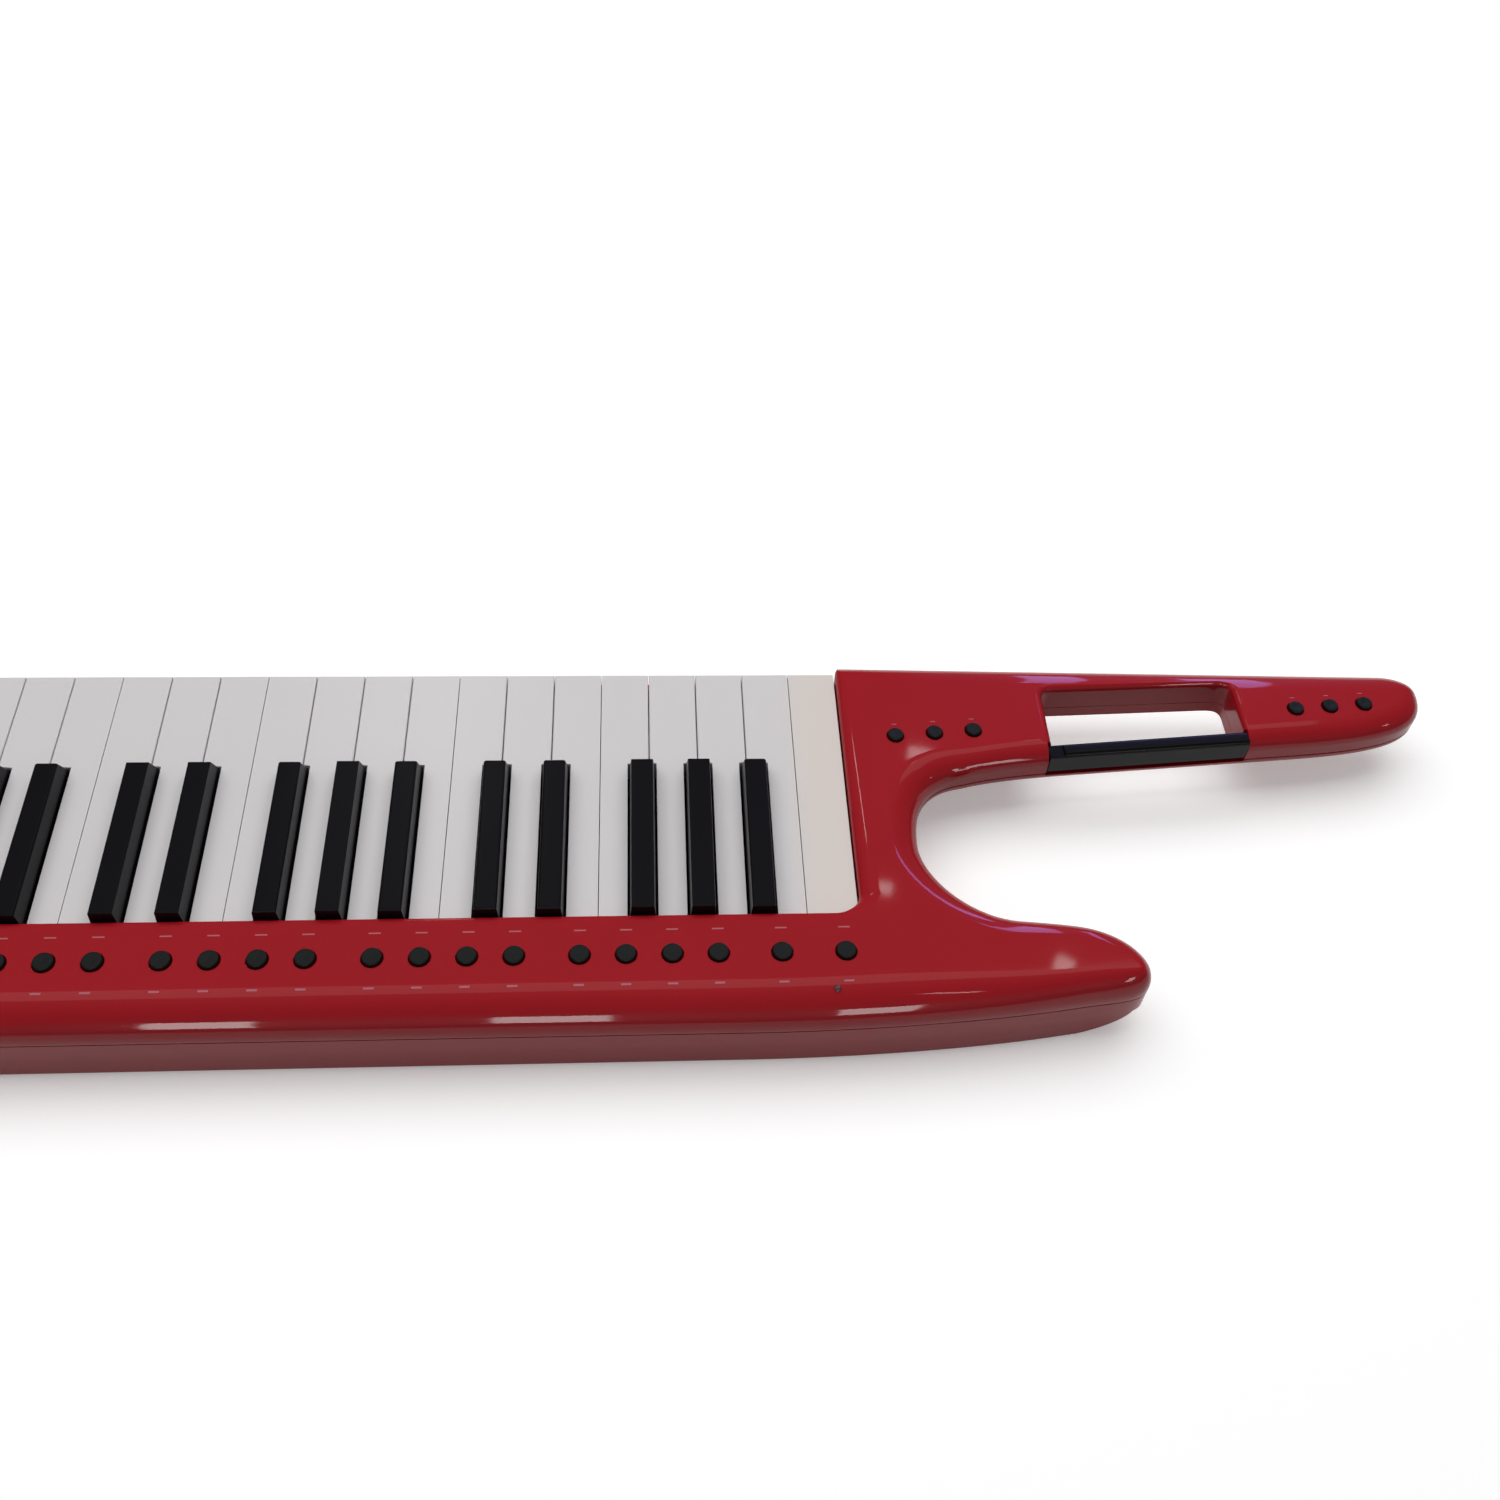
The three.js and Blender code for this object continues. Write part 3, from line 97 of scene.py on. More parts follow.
# ---------------------------------------------------------------- frame and outline


@dataclass(frozen=True)
class Frame:
    """Where the keyboard's own frame lies in the row frame."""

    shift_x: float = -205.65
    shift_y: float = -97.5

    def at(self, x: float, y: float, z: float) -> Vector:
        """Return a place of the keyboard's frame in metres of the row frame."""
        return Vector((x + self.shift_x, y + self.shift_y, z)) * MM


FRAME = Frame()


def smoothstep(value: float, low: float, high: float) -> float:
    """Return 0 below low, 1 above high and a smooth ramp between."""
    share = min(max((value - low) / (high - low), 0.0), 1.0)
    return share * share * (3.0 - 2.0 * share)


def mix(low: float, high: float, share: float) -> float:
    """Return the value at a share of the way from low to high."""
    return low + (high - low) * share


def bezier(points: Sequence[Point], steps: int) -> list[Point]:
    """Return points along a quadratic or cubic curve, without its first point.

    Args:
        points: Start, pulls and end.
        steps: How many points to return.

    Returns:
        The points, in order.
    """
    found = []
    for step in range(1, steps + 1):
        t = step / steps
        level = list(points)
        while len(level) > 1:
            level = [
                (mix(a[0], b[0], t), mix(a[1], b[1], t)) for a, b in zip(level, level[1:])
            ]
        found.append(level[0])
    return found


def arc(middle: Point, radius: float, start: float, end: float, steps: int) -> list[Point]:
    """Return points along an arc, with both ends.

    Args:
        middle: The arc's centre.
        radius: Its radius.
        start: The angle it starts at, in degrees.
        end: The angle it ends at, in degrees.
        steps: How many steps it takes.

    Returns:
        The points, in order.
    """
    angles = [math.radians(mix(start, end, step / steps)) for step in range(steps + 1)]
    return [(middle[0] + radius * math.cos(a), middle[1] + radius * math.sin(a)) for a in angles]


def corner_of(points: Sequence[Point], number: int, limit: float) -> tuple[Point, float]:
    """Return the outward direction at a corner of an anticlockwise outline, and the sine of its turn.

    Args:
        points: The outline.
        number: The corner's number.
        limit: The least cosine that stretches the direction, which keeps sharp corners short.

    Returns:
        The direction, stretched so that the sides move out evenly, and the sine.
    """
    here = Vector(points[number])
    first = (here - Vector(points[number - 1])).normalized()
    second = (Vector(points[(number + 1) % len(points)]) - here).normalized()
    along = (first + second).normalized()
    stretch = 1.0 / max(along.dot(first), limit)
    return (along.y * stretch, -along.x * stretch), first.cross(second)


@dataclass(frozen=True)
class CaseOutline:
    """The case seen from above, with the neck and the horn."""

    treble_end: float = 700.0
    rear: float = 199.0
    front: float = 4.0
    front_corner: float = 28.0
    rear_corner: float = 50.0
    horn_sweep: float = 50.0  # where the rear wall starts to bend
    horn_reach: float = 130.0
    cheek_face: float = 32.5  # the cut-out's deepest wall, past the lowest key
    neck_reach: float = 302.0
    neck_root: float = 115.0
    neck_rear: float = 57.0
    rear_slope: float = 0.078
    front_slope: float = 0.024
    tip_start_share: float = 0.762  # of the neck's reach: where its rear edge starts to bend
    root_pull_share: float = 0.667
    nose_shares: tuple[float, float, float] = (0.76, 0.3, 0.14)  # of the tip's depth, from the rear
    nose_pulls: tuple[float, float, float] = (0.93, 0.977, 0.94)  # of the neck's reach
    bass_cheek: float = 31.5
    edge_depth: float = 58.0  # over which the front edge's radius grows to the shoulder's
    shoulder_radius: float = 14.0
    edge_radius: float = 9.0
    horn_radius: float = 13.0
    body_spread: float = 1.3  # how far the edge's rounding reaches inwards, over its drop
    horn_spread: float = 0.85
    front_spread: float = 1.6
    horn_spread_run: Point = (30.0, 105.0)
    front_spread_depth: float = 20.0
    front_spread_ramp: float = 15.0
    curve_steps: int = 18
    line_step: float = 45.0

    @property
    def middle(self) -> float:
        """Return the depth that parts the horn's side of the cut-out from the neck's."""
        return self.rear / 2

    def rear_edge(self, reach: float) -> float:
        """Return the neck's rear edge at a reach from the keys."""
        return self.neck_rear - self.rear_slope * (reach - self.neck_root)

    def front_edge(self, reach: float) -> float:
        """Return the neck's front edge at a reach from the keys."""
        return self.front_slope * reach - self.front

    def horn_point(self, reach_share: float, depth_share: float) -> Point:
        """Return a place between the cut-out's deepest wall and the horn's tip."""
        return (-mix(self.cheek_face, self.horn_reach, reach_share), self.rear * depth_share)

    def points(self) -> list[Point]:
        """Return the outline, anticlockwise from the treble end's front corner."""
        steps = self.curve_steps
        corner = self.front_corner
        found = arc((self.treble_end - corner, corner - self.front), corner, -90, 0, steps)
        corner = self.rear_corner
        found += arc((self.treble_end - corner, self.rear - corner), corner, 0, 90, steps)
        found.append((self.horn_sweep, self.rear))
        # the horn and the cut-out: shares of the horn's reach and of the case's depth
        curves = [
            [(0.0, self.rear), self.horn_point(0.25, 0.982), self.horn_point(0.62, 0.955)],
            [self.horn_point(0.86, 0.938), self.horn_point(0.985, 0.946), self.horn_point(0.99, 0.884)],
            [self.horn_point(0.985, 0.832), self.horn_point(0.88, 0.786), self.horn_point(0.74, 0.766)],
            [self.horn_point(0.64, 0.754), self.horn_point(0.55, 0.75), self.horn_point(0.416, 0.741)],
            [self.horn_point(0.2, 0.728), self.horn_point(0, 0.613), self.horn_point(0, 0.522)],
            [self.horn_point(0, 0.402), self.horn_point(0.08, 0.342), self.horn_point(0.28, 0.326)],
        ]
        for curve in curves:
            found += bezier([found[-1], *curve], steps)
        pull = self.neck_root * self.root_pull_share
        root = (-self.neck_root, self.rear_edge(self.neck_root))
        found += bezier([found[-1], (-pull, self.rear_edge(pull)), root], steps)
        tip = self.neck_reach * self.tip_start_share
        found.append((-tip, self.rear_edge(tip)))
        found += self.nose(found[-1])
        found.append((0.0, -self.front))
        return self.evened(found)

    def nose(self, start: Point) -> list[Point]:
        """Return the neck's round tip, from the place where the rear edge starts to bend."""
        tip = -self.neck_reach
        low = self.front_edge(self.neck_reach)
        depths = [low + share * (start[1] - low) for share in self.nose_shares]
        pulls = [self.neck_reach * share for share in self.nose_pulls]
        rear_pull = (-pulls[0], self.rear_edge(pulls[0]))
        front_pull = (-pulls[1], self.front_edge(pulls[1]))
        end = (-pulls[2], self.front_edge(pulls[2]))
        found = bezier([start, rear_pull, (tip, depths[0]), (tip, depths[1])], self.curve_steps)
        return found + bezier([found[-1], (tip, depths[2]), front_pull, end], self.curve_steps)

    def evened(self, points: list[Point]) -> list[Point]:
        """Return the outline with its long straight runs divided.

        Args:
            points: The outline.

        Returns:
            The same outline with more points.
        """
        found = []
        for here, there in zip(points, points[1:] + points[:1]):
            run = math.dist(here, there)
            if run < SAME_PLACE:
                continue
            parts = max(1, round(run / self.line_step))
            found += [
                (mix(here[0], there[0], i / parts), mix(here[1], there[1], i / parts))
                for i in range(parts)
            ]
        return found

    def rounding(self, x: float, y: float) -> float:
        """Return the radius of the upper edge over a place on the outline."""
        slender = smoothstep(-x, self.bass_cheek, self.horn_reach / 2)
        rearward = smoothstep(y, 0.0, self.edge_depth)
        beyond = smoothstep(y, self.rear / 3, self.rear / 2)
        limb = mix(self.edge_radius, self.horn_radius, beyond)
        full = mix(self.shoulder_radius, limb, slender)
        return mix(self.edge_radius, full, rearward)

    def spread(self, x: float, y: float) -> float:
        """Return how far the edge's rounding reaches inwards over a place, as a share of its drop."""
        horn = smoothstep(-x, *self.horn_spread_run) * smoothstep(y, self.rear / 3, self.rear / 2)
        depth = self.front_spread_depth
        front = smoothstep(-x, 0.0, depth) * smoothstep(depth - y, 0.0, self.front_spread_ramp)
        return mix(mix(self.body_spread, self.horn_spread, horn), self.front_spread, front)


@dataclass
class Rim:
    """An outline's points with outward directions, and the drop and reach of the rounded edge at each."""

    places: list[Point]
    rounding: Callable[[float, float], float]
    spread: Callable[[float, float], float]
    near: int = 4  # neighbours over which a value is averaged
    side: int = 1  # 1 where the edge lies inside the outline, -1 outside
    sharpest: float = 0.5
    room_share: float = 0.88  # of the room that a curve leaves
    outward: list[Point] = field(init=False)
    edges: list[Point] = field(init=False)

    def __post_init__(self) -> None:
        """Work out the directions, and a reach that never folds over itself."""
        count, near = len(self.places), self.near
        corners = [corner_of(self.places, i, self.sharpest) for i in range(count)]
        self.outward = [direction for direction, _ in corners]
        turns = [self.side * math.tan(sine / 2) for _, sine in corners]
        tightest = []
        for i, here in enumerate(self.places):
            turn = turns[i] + turns[(i + 1) % count]
            run = math.dist(here, self.places[(i + 1) % count])
            tightest.append(run / turn if turn > 1e-4 else math.inf)
        held = [min(tightest[(i + k) % count] for k in range(-near, near)) for i in range(count)]
        drops = [self.rounding(*place) for place in self.places]
        wide = [self.spread(*place) * drop for place, drop in zip(self.places, drops)]
        reaches = [min(reach, self.room_share * room) for reach, room in zip(wide, held)]
        self.edges = list(zip(self.evened(drops), self.evened(reaches)))

    def evened(self, values: Sequence[float]) -> list[float]:
        """Return values along the outline, each averaged with its neighbours."""
        count, span = len(values), range(-self.near, self.near + 1)
        return [sum(values[(i + k) % count] for k in span) / len(span) for i in range(count)]

    def ring(self, inset: Callable[[float, float], float], height: Callable[[float], float]) -> Ring:
        """Return a ring of the outline.

        Args:
            inset: Gives the inset from the outline, from the edge's drop and reach there.
            height: Gives the height, from the edge's drop there.

        Returns:
            The ring's points.
        """
        return [
            (x - out[0] * inset(drop, reach), y - out[1] * inset(drop, reach), height(drop))
            for (x, y), out, (drop, reach) in zip(self.places, self.outward, self.edges)
        ]


# ---------------------------------------------------------------- modelling helpers


def clear_selection() -> None:
    """Leave edit mode and deselect everything."""
    if bpy.context.mode != "OBJECT":
        bpy.ops.object.mode_set(mode="OBJECT")
    bpy.ops.object.select_all(action="DESELECT")


def pick(piece: bpy.types.Object) -> None:
    """Make a piece the only selected object and the active one."""
    clear_selection()
    piece.select_set(True)
    bpy.context.view_layer.objects.active = piece


def named(name: str) -> bpy.types.Object:
    """Give the active object and its mesh a name, and return it."""
    piece = bpy.context.view_layer.objects.active
    piece.name = name
    piece.data.name = name
    return piece


def settle(piece: bpy.types.Object) -> bpy.types.Object:
    """Put a piece's place into its mesh, and return it."""
    pick(piece)
    bpy.ops.object.transform_apply(location=True, rotation=True, scale=True)
    return piece


def rounded(place: Vector) -> tuple[float, ...]:
    """Return a place rounded to a tenth of a micron, by which a vertex is found again."""
    return tuple(round(c, 7) for c in place)


def face_outwards() -> None:
    """Turn the faces of the closed solid in edit mode outwards, and leave edit mode."""
    bpy.ops.mesh.select_all(action="SELECT")
    bpy.ops.mesh.normals_make_consistent(inside=False)
    bpy.ops.object.mode_set(mode="OBJECT")


def edit(piece: bpy.types.Object, mode: str) -> None:
    """Open a piece in edit mode, with vertices, edges or faces to select."""
    pick(piece)
    bpy.ops.object.mode_set(mode="EDIT")
    bpy.ops.mesh.select_mode(type=mode)


def select(piece: bpy.types.Object, wanted: Callable[[bmesh.types.BMElem], bool], mode: str = "FACE") -> None:
    """Select, in edit mode, only the faces or edges that a test picks.

    Args:
        piece: The piece, in edit mode.
        wanted: The test.
        mode: FACE or EDGE.
    """
    bpy.ops.mesh.select_all(action="DESELECT")
    mesh = bmesh.from_edit_mesh(piece.data)
    for element in mesh.faces if mode == "FACE" else mesh.edges:
        element.select_set(wanted(element))
    mesh.select_flush_mode()
    bmesh.update_edit_mesh(piece.data)


def ring_stack(name: str, rings: Sequence[Ring]) -> bpy.types.Object:
    """Model a closed solid by extruding a face through rings with the same number of points.

    Args:
        name: The solid's name.
        rings: The rings, lowest first, in millimetres of the keyboard's frame.

    Returns:
        The solid.
    """
    clear_selection()
    bpy.ops.mesh.primitive_circle_add(vertices=len(rings[0]), radius=1.0, fill_type="NGON")
    piece = named(name)
    places = [[FRAME.at(*spot) for spot in ring] for ring in rings]
    for vertex, place in zip(piece.data.vertices, places[0]):
        vertex.co = place
    bpy.ops.object.mode_set(mode="EDIT")
    bpy.ops.mesh.select_mode(type="VERT")
    bpy.ops.mesh.select_all(action="SELECT")
    for below, above in zip(places, places[1:]):
        bpy.ops.mesh.extrude_region_move()
        mesh = bmesh.from_edit_mesh(piece.data)
        numbers = {rounded(place): number for number, place in enumerate(below)}
        for vertex in mesh.verts:
            if vertex.select:
                vertex.co = above[numbers[rounded(vertex.co)]]
        bmesh.update_edit_mesh(piece.data)
    bpy.ops.mesh.select_all(action="DESELECT")
    bpy.ops.mesh.select_non_manifold(extend=False)
    bpy.ops.mesh.edge_face_add()
    face_outwards()
    return piece


def prism(name: str, outline: Sequence[Point], low: float, high: float) -> bpy.types.Object:
    """Model an upright prism over an outline."""
    return ring_stack(name, [[(x, y, z) for x, y in outline] for z in (low, high)])


def grown(outline: Sequence[Point], margin: float) -> list[Point]:
    """Return an anticlockwise outline moved outwards by a margin."""
    found = []
    for i, (x, y) in enumerate(outline):
        (out_x, out_y), _ = corner_of(outline, i, SHARPEST)
        found.append((x + margin * out_x, y + margin * out_y))
    return found


def flared(
    name: str, outline: Sequence[Point], z: Point, radius: float, steps: int, free: float = 1e-4
) -> bpy.types.Object:
    """Model a cutter that leaves a rounded edge where its hole comes out of a flat top.

    Args:
        name: The cutter's name.
        outline: The hole's outline, anticlockwise.
        z: The cutter's lower end, and the height of the flat top.
        radius: The rounding of the hole's edge.
        steps: The steps of the rounding.
        free: How far the rounding stands off the hole, so that no two rings are the same.

    Returns:
        The cutter.
    """
    low, top = z
    rings = [[(x, y, low) for x, y in outline]]
    for step in range(steps + 1):
        angle = QUARTER * step / steps
        wide = grown(outline, radius * (1.0 - math.cos(angle)) + free)
        rings.append([(x, y, top - radius + radius * math.sin(angle)) for x, y in wide])
    rings.append([(x, y, top + OVERRUN) for x, y in grown(outline, radius + free)])
    return ring_stack(name, rings)


def block(name: str, x: Point, y: Point, z: Point) -> bpy.types.Object:
    """Add a block between two corners, given as ranges in millimetres."""
    clear_selection()
    middle = FRAME.at(sum(x) / 2, sum(y) / 2, sum(z) / 2)
    bpy.ops.mesh.primitive_cube_add(size=1.0, location=middle)
    piece = named(name)
    piece.scale = ((x[1] - x[0]) * MM, (y[1] - y[0]) * MM, (z[1] - z[0]) * MM)
    return settle(piece)


def column(name: str, x: float, y: float, z: Point, radius: float, sides: int) -> bpy.types.Object:
    """Add an upright cylinder, sized in millimetres."""
    clear_selection()
    bpy.ops.mesh.primitive_cylinder_add(
        vertices=sides, radius=radius * MM, depth=(z[1] - z[0]) * MM, location=FRAME.at(x, y, sum(z) / 2)
    )
    return settle(named(name))


def join(name: str, pieces: Sequence[bpy.types.Object]) -> bpy.types.Object:
    """Join pieces into one object, and return it."""
    pick(pieces[0])
    for piece in pieces[1:]:
        piece.select_set(True)
    if len(pieces) > 1:
        bpy.ops.object.join()
    return named(name)


def combine(piece: bpy.types.Object, other: bpy.types.Object, operation: str = "DIFFERENCE") -> None:
    """Cut, join or intersect a piece with another, which is used up.

    Args:
        piece: The piece that changes.
        other: The solid to combine it with.
        operation: DIFFERENCE, UNION or INTERSECT.
    """
    pick(piece)
    modifier = piece.modifiers.new("combine", "BOOLEAN")
    modifier.operation = operation
    modifier.solver = "EXACT"
    modifier.object = other
    bpy.ops.object.modifier_apply(modifier=modifier.name)
    bpy.data.objects.remove(other)


def soften(piece: bpy.types.Object, width: float, segments: int, angle: float = 35.0) -> None:
    """Round a piece's sharp edges with a bevel.

    Args:
        piece: The piece.
        width: The bevel's width in millimetres.
        segments: Its segments.
        angle: Edges sharper than this many degrees are rounded.
    """
    pick(piece)
    modifier = piece.modifiers.new("soften", "BEVEL")
    modifier.width = width * MM
    modifier.segments = segments
    modifier.limit_method = "ANGLE"
    modifier.angle_limit = math.radians(angle)
    modifier.miter_outer = "MITER_ARC"
    bpy.ops.object.modifier_apply(modifier=modifier.name)


def shade(piece: bpy.types.Object, angle: float = 40.0) -> None:
    """Shade a piece smooth up to an angle, with the large flat faces kept flat."""
    pick(piece)
    bpy.ops.object.shade_smooth_by_angle(angle=math.radians(angle))
    modifier = piece.modifiers.new("even", "WEIGHTED_NORMAL")
    modifier.mode = "FACE_AREA"
    modifier.weight = 50
    modifier.keep_sharp = True
    bpy.ops.object.modifier_apply(modifier=modifier.name)


def copy_of_node(node: bpy.types.Object, name: str) -> bpy.types.Object:
    """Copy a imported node's mesh as a new piece with merged corners and whole flat faces.

    Args:
        node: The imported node.
        name: The new piece's name.

    Returns:
        The new piece.
    """
    clear_selection()
    mesh = node.data.copy()
    mesh.materials.clear()
    piece = bpy.data.objects.new(name, mesh)
    mesh.name = name
    bpy.context.scene.collection.objects.link(piece)
    pick(piece)
    if mesh.has_custom_normals:
        bpy.ops.mesh.customdata_custom_splitnormals_clear()
    bpy.ops.object.mode_set(mode="EDIT")
    bpy.ops.mesh.select_all(action="SELECT")
    bpy.ops.mesh.remove_doubles(threshold=0.02 * MM)
    bpy.ops.mesh.dissolve_limited(angle_limit=math.radians(0.5))
    bpy.ops.object.mode_set(mode="OBJECT")
    return piece


def duplicate(piece: bpy.types.Object, name: str, shift: Vector) -> bpy.types.Object:
    """Copy a piece with its own mesh, moved by a shift in metres."""
    copy = piece.copy()
    copy.data = piece.data.copy()
    copy.name = name
    copy.data.name = name
    copy.data.transform(Matrix.Translation(shift))
    bpy.context.scene.collection.objects.link(copy)
    return copy


# ---------------------------------------------------------------- finishes


def linear(code: str) -> tuple[float, float, float, float]:
    """Return an sRGB hex colour in linear light."""
    parts = [int(code[i : i + 2], 16) / 255 for i in (1, 3, 5)]
    turned = [p / 12.92 if p <= 0.04045 else ((p + 0.055) / 1.055) ** 2.4 for p in parts]
    return (turned[0], turned[1], turned[2], 1.0)


def add_node(
    tree: bpy.types.NodeTree,
    kind: str,
    inputs: dict[str | int, object] | None = None,
    **settings: object,
) -> bpy.types.Node:
    """Add a node with its settings, values and links.

    Args:
        tree: The node tree.
        kind: The node's type name.
        inputs: Values or sockets for its inputs, by name or number.
        settings: Values for its properties.

    Returns:
        The node.
    """
    node = tree.nodes.new(kind)
    for key, value in settings.items():
        setattr(node, key, value)
    for key, value in (inputs or {}).items():
        if isinstance(value, bpy.types.NodeSocket):
            tree.links.new(value, node.inputs[key])
        else:
            node.inputs[key].default_value = value
    return node


def blank(name: str) -> tuple[bpy.types.Material, bpy.types.NodeTree]:
    """Return a new material and its node tree."""
    made = bpy.data.materials.new(name)
    made.use_nodes = True
    return made, made.node_tree


class Grain(Enum):
    """How a surface leaves its tool: the pitch of its fine relief and its height, in millimetres."""

    POLISHED = (9.0, 0.004)
    SATIN = (0.7, 0.006)
    SPARK = (0.8, 0.05)

    @property
    def pitch(self) -> float:
        """Return the pitch of the relief."""
        return self.value[0]

    @property
    def height(self) -> float:
        """Return the height of the relief."""
        return self.value[1]


@dataclass(frozen=True)
class Moulded:
    """A moulded plastic: colour, gloss, and the fine relief that its tool leaves."""

    name: str
    slot: str
    colour: str
    shade: str
    roughness: float
    grain: Grain
    coat: float = 0.0
    coat_roughness: float = 0.03
    gloss: float = 0.5
    cream: str | None = None
    cloud_mm: float = 60.0
    touch_mm: float = 14.0
    cream_start: float = -0.175  # in metres of the row frame, past the lowest key's treble side
    cream_full: float = -0.19

    def material(self) -> bpy.types.Material:
        """Return the finish as a material."""
        made, tree = blank(self.name)
        shader = tree.nodes["Principled BSDF"]
        place = add_node(tree, "ShaderNodeTexCoord").outputs["Object"]
        cloud = self.noise(tree, place, self.cloud_mm, Detail=3.0)
        tone = add_node(
            tree,
            "ShaderNodeMix",
            {"Factor": cloud, 6: linear(self.colour), 7: linear(self.shade)},
            data_type="RGBA",
        ).outputs[2]
        if self.cream:
            along = add_node(tree, "ShaderNodeSeparateXYZ", {0: place}).outputs["X"]
            bass = add_node(
                tree,
                "ShaderNodeMapRange",
                {"Value": along, "From Min": self.cream_start, "From Max": self.cream_full},
            )
            tone = add_node(
                tree,
                "ShaderNodeMix",
                {"Factor": bass.outputs["Result"], 6: tone, 7: linear(self.cream)},
                data_type="RGBA",
            ).outputs[2]
        tree.links.new(tone, shader.inputs["Base Color"])
        handled = self.noise(tree, place, self.touch_mm, Detail=5.0, Roughness=0.6)
        worn = add_node(
            tree,
            "ShaderNodeMapRange",
            {
                "Value": handled,
                "From Min": 0.35,
                "From Max": 0.7,
                "To Min": self.roughness * 0.95,
                "To Max": self.roughness * 1.06,
            },
        )
        tree.links.new(worn.outputs["Result"], shader.inputs["Roughness"])
        relief = self.noise(tree, place, self.grain.pitch, Detail=1.0)
        bump = add_node(
            tree,
            "ShaderNodeBump",
            {"Height": relief, "Strength": 1.0, "Distance": self.grain.height * MM},
        )
        tree.links.new(bump.outputs["Normal"], shader.inputs["Normal"])
        shader.inputs["IOR"].default_value = 1.5
        shader.inputs["Specular IOR Level"].default_value = self.gloss
        shader.inputs["Coat Weight"].default_value = self.coat
        shader.inputs["Coat Roughness"].default_value = self.coat_roughness
        return made

    def noise(
        self, tree: bpy.types.NodeTree, place: bpy.types.NodeSocket, size_mm: float, **settings: float
    ) -> bpy.types.NodeSocket:
        """Return a noise of a real size as a socket.

        Args:
            tree: The node tree.
            place: The coordinates.
            size_mm: The size of the noise's features in millimetres.
            settings: Values for its other inputs.

        Returns:
            The socket.
        """
        inputs = {"Vector": place, "Scale": 1 / (size_mm * MM), **settings}
        return add_node(tree, "ShaderNodeTexNoise", inputs).outputs["Fac"]


@dataclass(frozen=True)
class Plated:
    """A plated or bare metal with a fine turned or rolled grain."""

    name: str
    slot: str
    colour: str
    roughness: float
    scratch_mm: float

    def material(self) -> bpy.types.Material:
        """Return the finish as a material."""
        made, tree = blank(self.name)
        shader = tree.nodes["Principled BSDF"]
        place = add_node(tree, "ShaderNodeTexCoord").outputs["Object"]
        scale = 1 / (self.scratch_mm * MM)
        noise = add_node(tree, "ShaderNodeTexNoise", {"Vector": place, "Scale": scale, "Detail": 4.0})
        low, high = self.roughness * 0.7, self.roughness * 1.3
        gloss = add_node(
            tree, "ShaderNodeMapRange", {"Value": noise.outputs["Fac"], "To Min": low, "To Max": high}
        )
        tree.links.new(gloss.outputs["Result"], shader.inputs["Roughness"])
        shader.inputs["Base Color"].default_value = linear(self.colour)
        shader.inputs["Metallic"].default_value = 1.0
        return made


# ABS, gloss painted: deep wet red, sharp small highlights, a slight orange peel
RED_SHELL = Moulded(
    "gloss painted ABS, red", "red_shell", "#A6131F", "#A0111D", 0.35, Grain.POLISHED, 0.5, 0.04, 0.05
)
# ABS from a polished tool: pale and a little cold, soft reflections, the colour creamier towards the bass
# end, over the lowest key and a little of the next
WHITE_KEY = Moulded(
    "moulded ABS, white", "white_key", "#DEDBDC", "#DAD7D9", 0.3, Grain.POLISHED, cream="#E2D9D3"
)
# ABS from a polished tool: near black, with one long soft sheen
BLACK_KEY = Moulded("polished ABS, black", "black_key", "#0D0B0E", "#100E12", 0.32, Grain.SATIN, gloss=0.1)
# Silicone rubber, moulded: near black, faintly green, with a dull shine on the rim
BUTTON = Moulded("silicone rubber, dark grey", "button", "#171918", "#141615", 0.45, Grain.SATIN, gloss=0.2)
# ABS from a satin tool, polished by the thumb
BAR = Moulded("satin ABS, black bar", "expression_bar", "#08080A", "#0A0A0C", 0.26, Grain.SATIN, gloss=0.15)
# Glass-filled nylon: dull dark grey
CHASSIS = Moulded("glass-filled nylon", "chassis", "#2C2D2F", "#333436", 0.6, Grain.SPARK)
# Fibreglass laminate under green solder mask
BOARD = Moulded("fibreglass board, green mask", "circuit_board", "#1D5A34", "#18502D", 0.35, Grain.SATIN)
# ABS with a coarse spark-eroded grain
SOCKET_PLATE = Moulded("grained ABS, black", "jack_plate", "#1B1B1D", "#202022", 0.6, Grain.SPARK)
# Pad-printed ink, pale and thin, with the red under it showing through
INK = Moulded("pad-printed ink", "red_shell", "#B65B66", "#B05560", 0.45, Grain.SATIN)
# Tinted polycarbonate over a lamp that is off
LENS = Moulded("tinted polycarbonate", "red_shell", "#5A3038", "#4F2A31", 0.12, Grain.POLISHED, 0.5)
# Bright nickel over steel
NICKEL = Plated("bright nickel plate", "plated_steel", "#C9CACD", 0.16, 1.5)
# Black-oxidised steel screws
SCREW = Plated("black-oxide steel", "plated_steel", "#4A4B4E", 0.35, 0.8)


@dataclass
class Palette:
    """The materials, made once for the whole instrument."""

    made: dict[str, bpy.types.Material] = field(default_factory=dict)

    def dress(self, piece: bpy.types.Object, finish: Moulded | Plated) -> None:
        """Give a piece a finish."""
        if finish.name not in self.made:
            self.made[finish.name] = finish.material()
        piece.data.materials.clear()
        piece.data.materials.append(self.made[finish.name])


# ---------------------------------------------------------------- shells


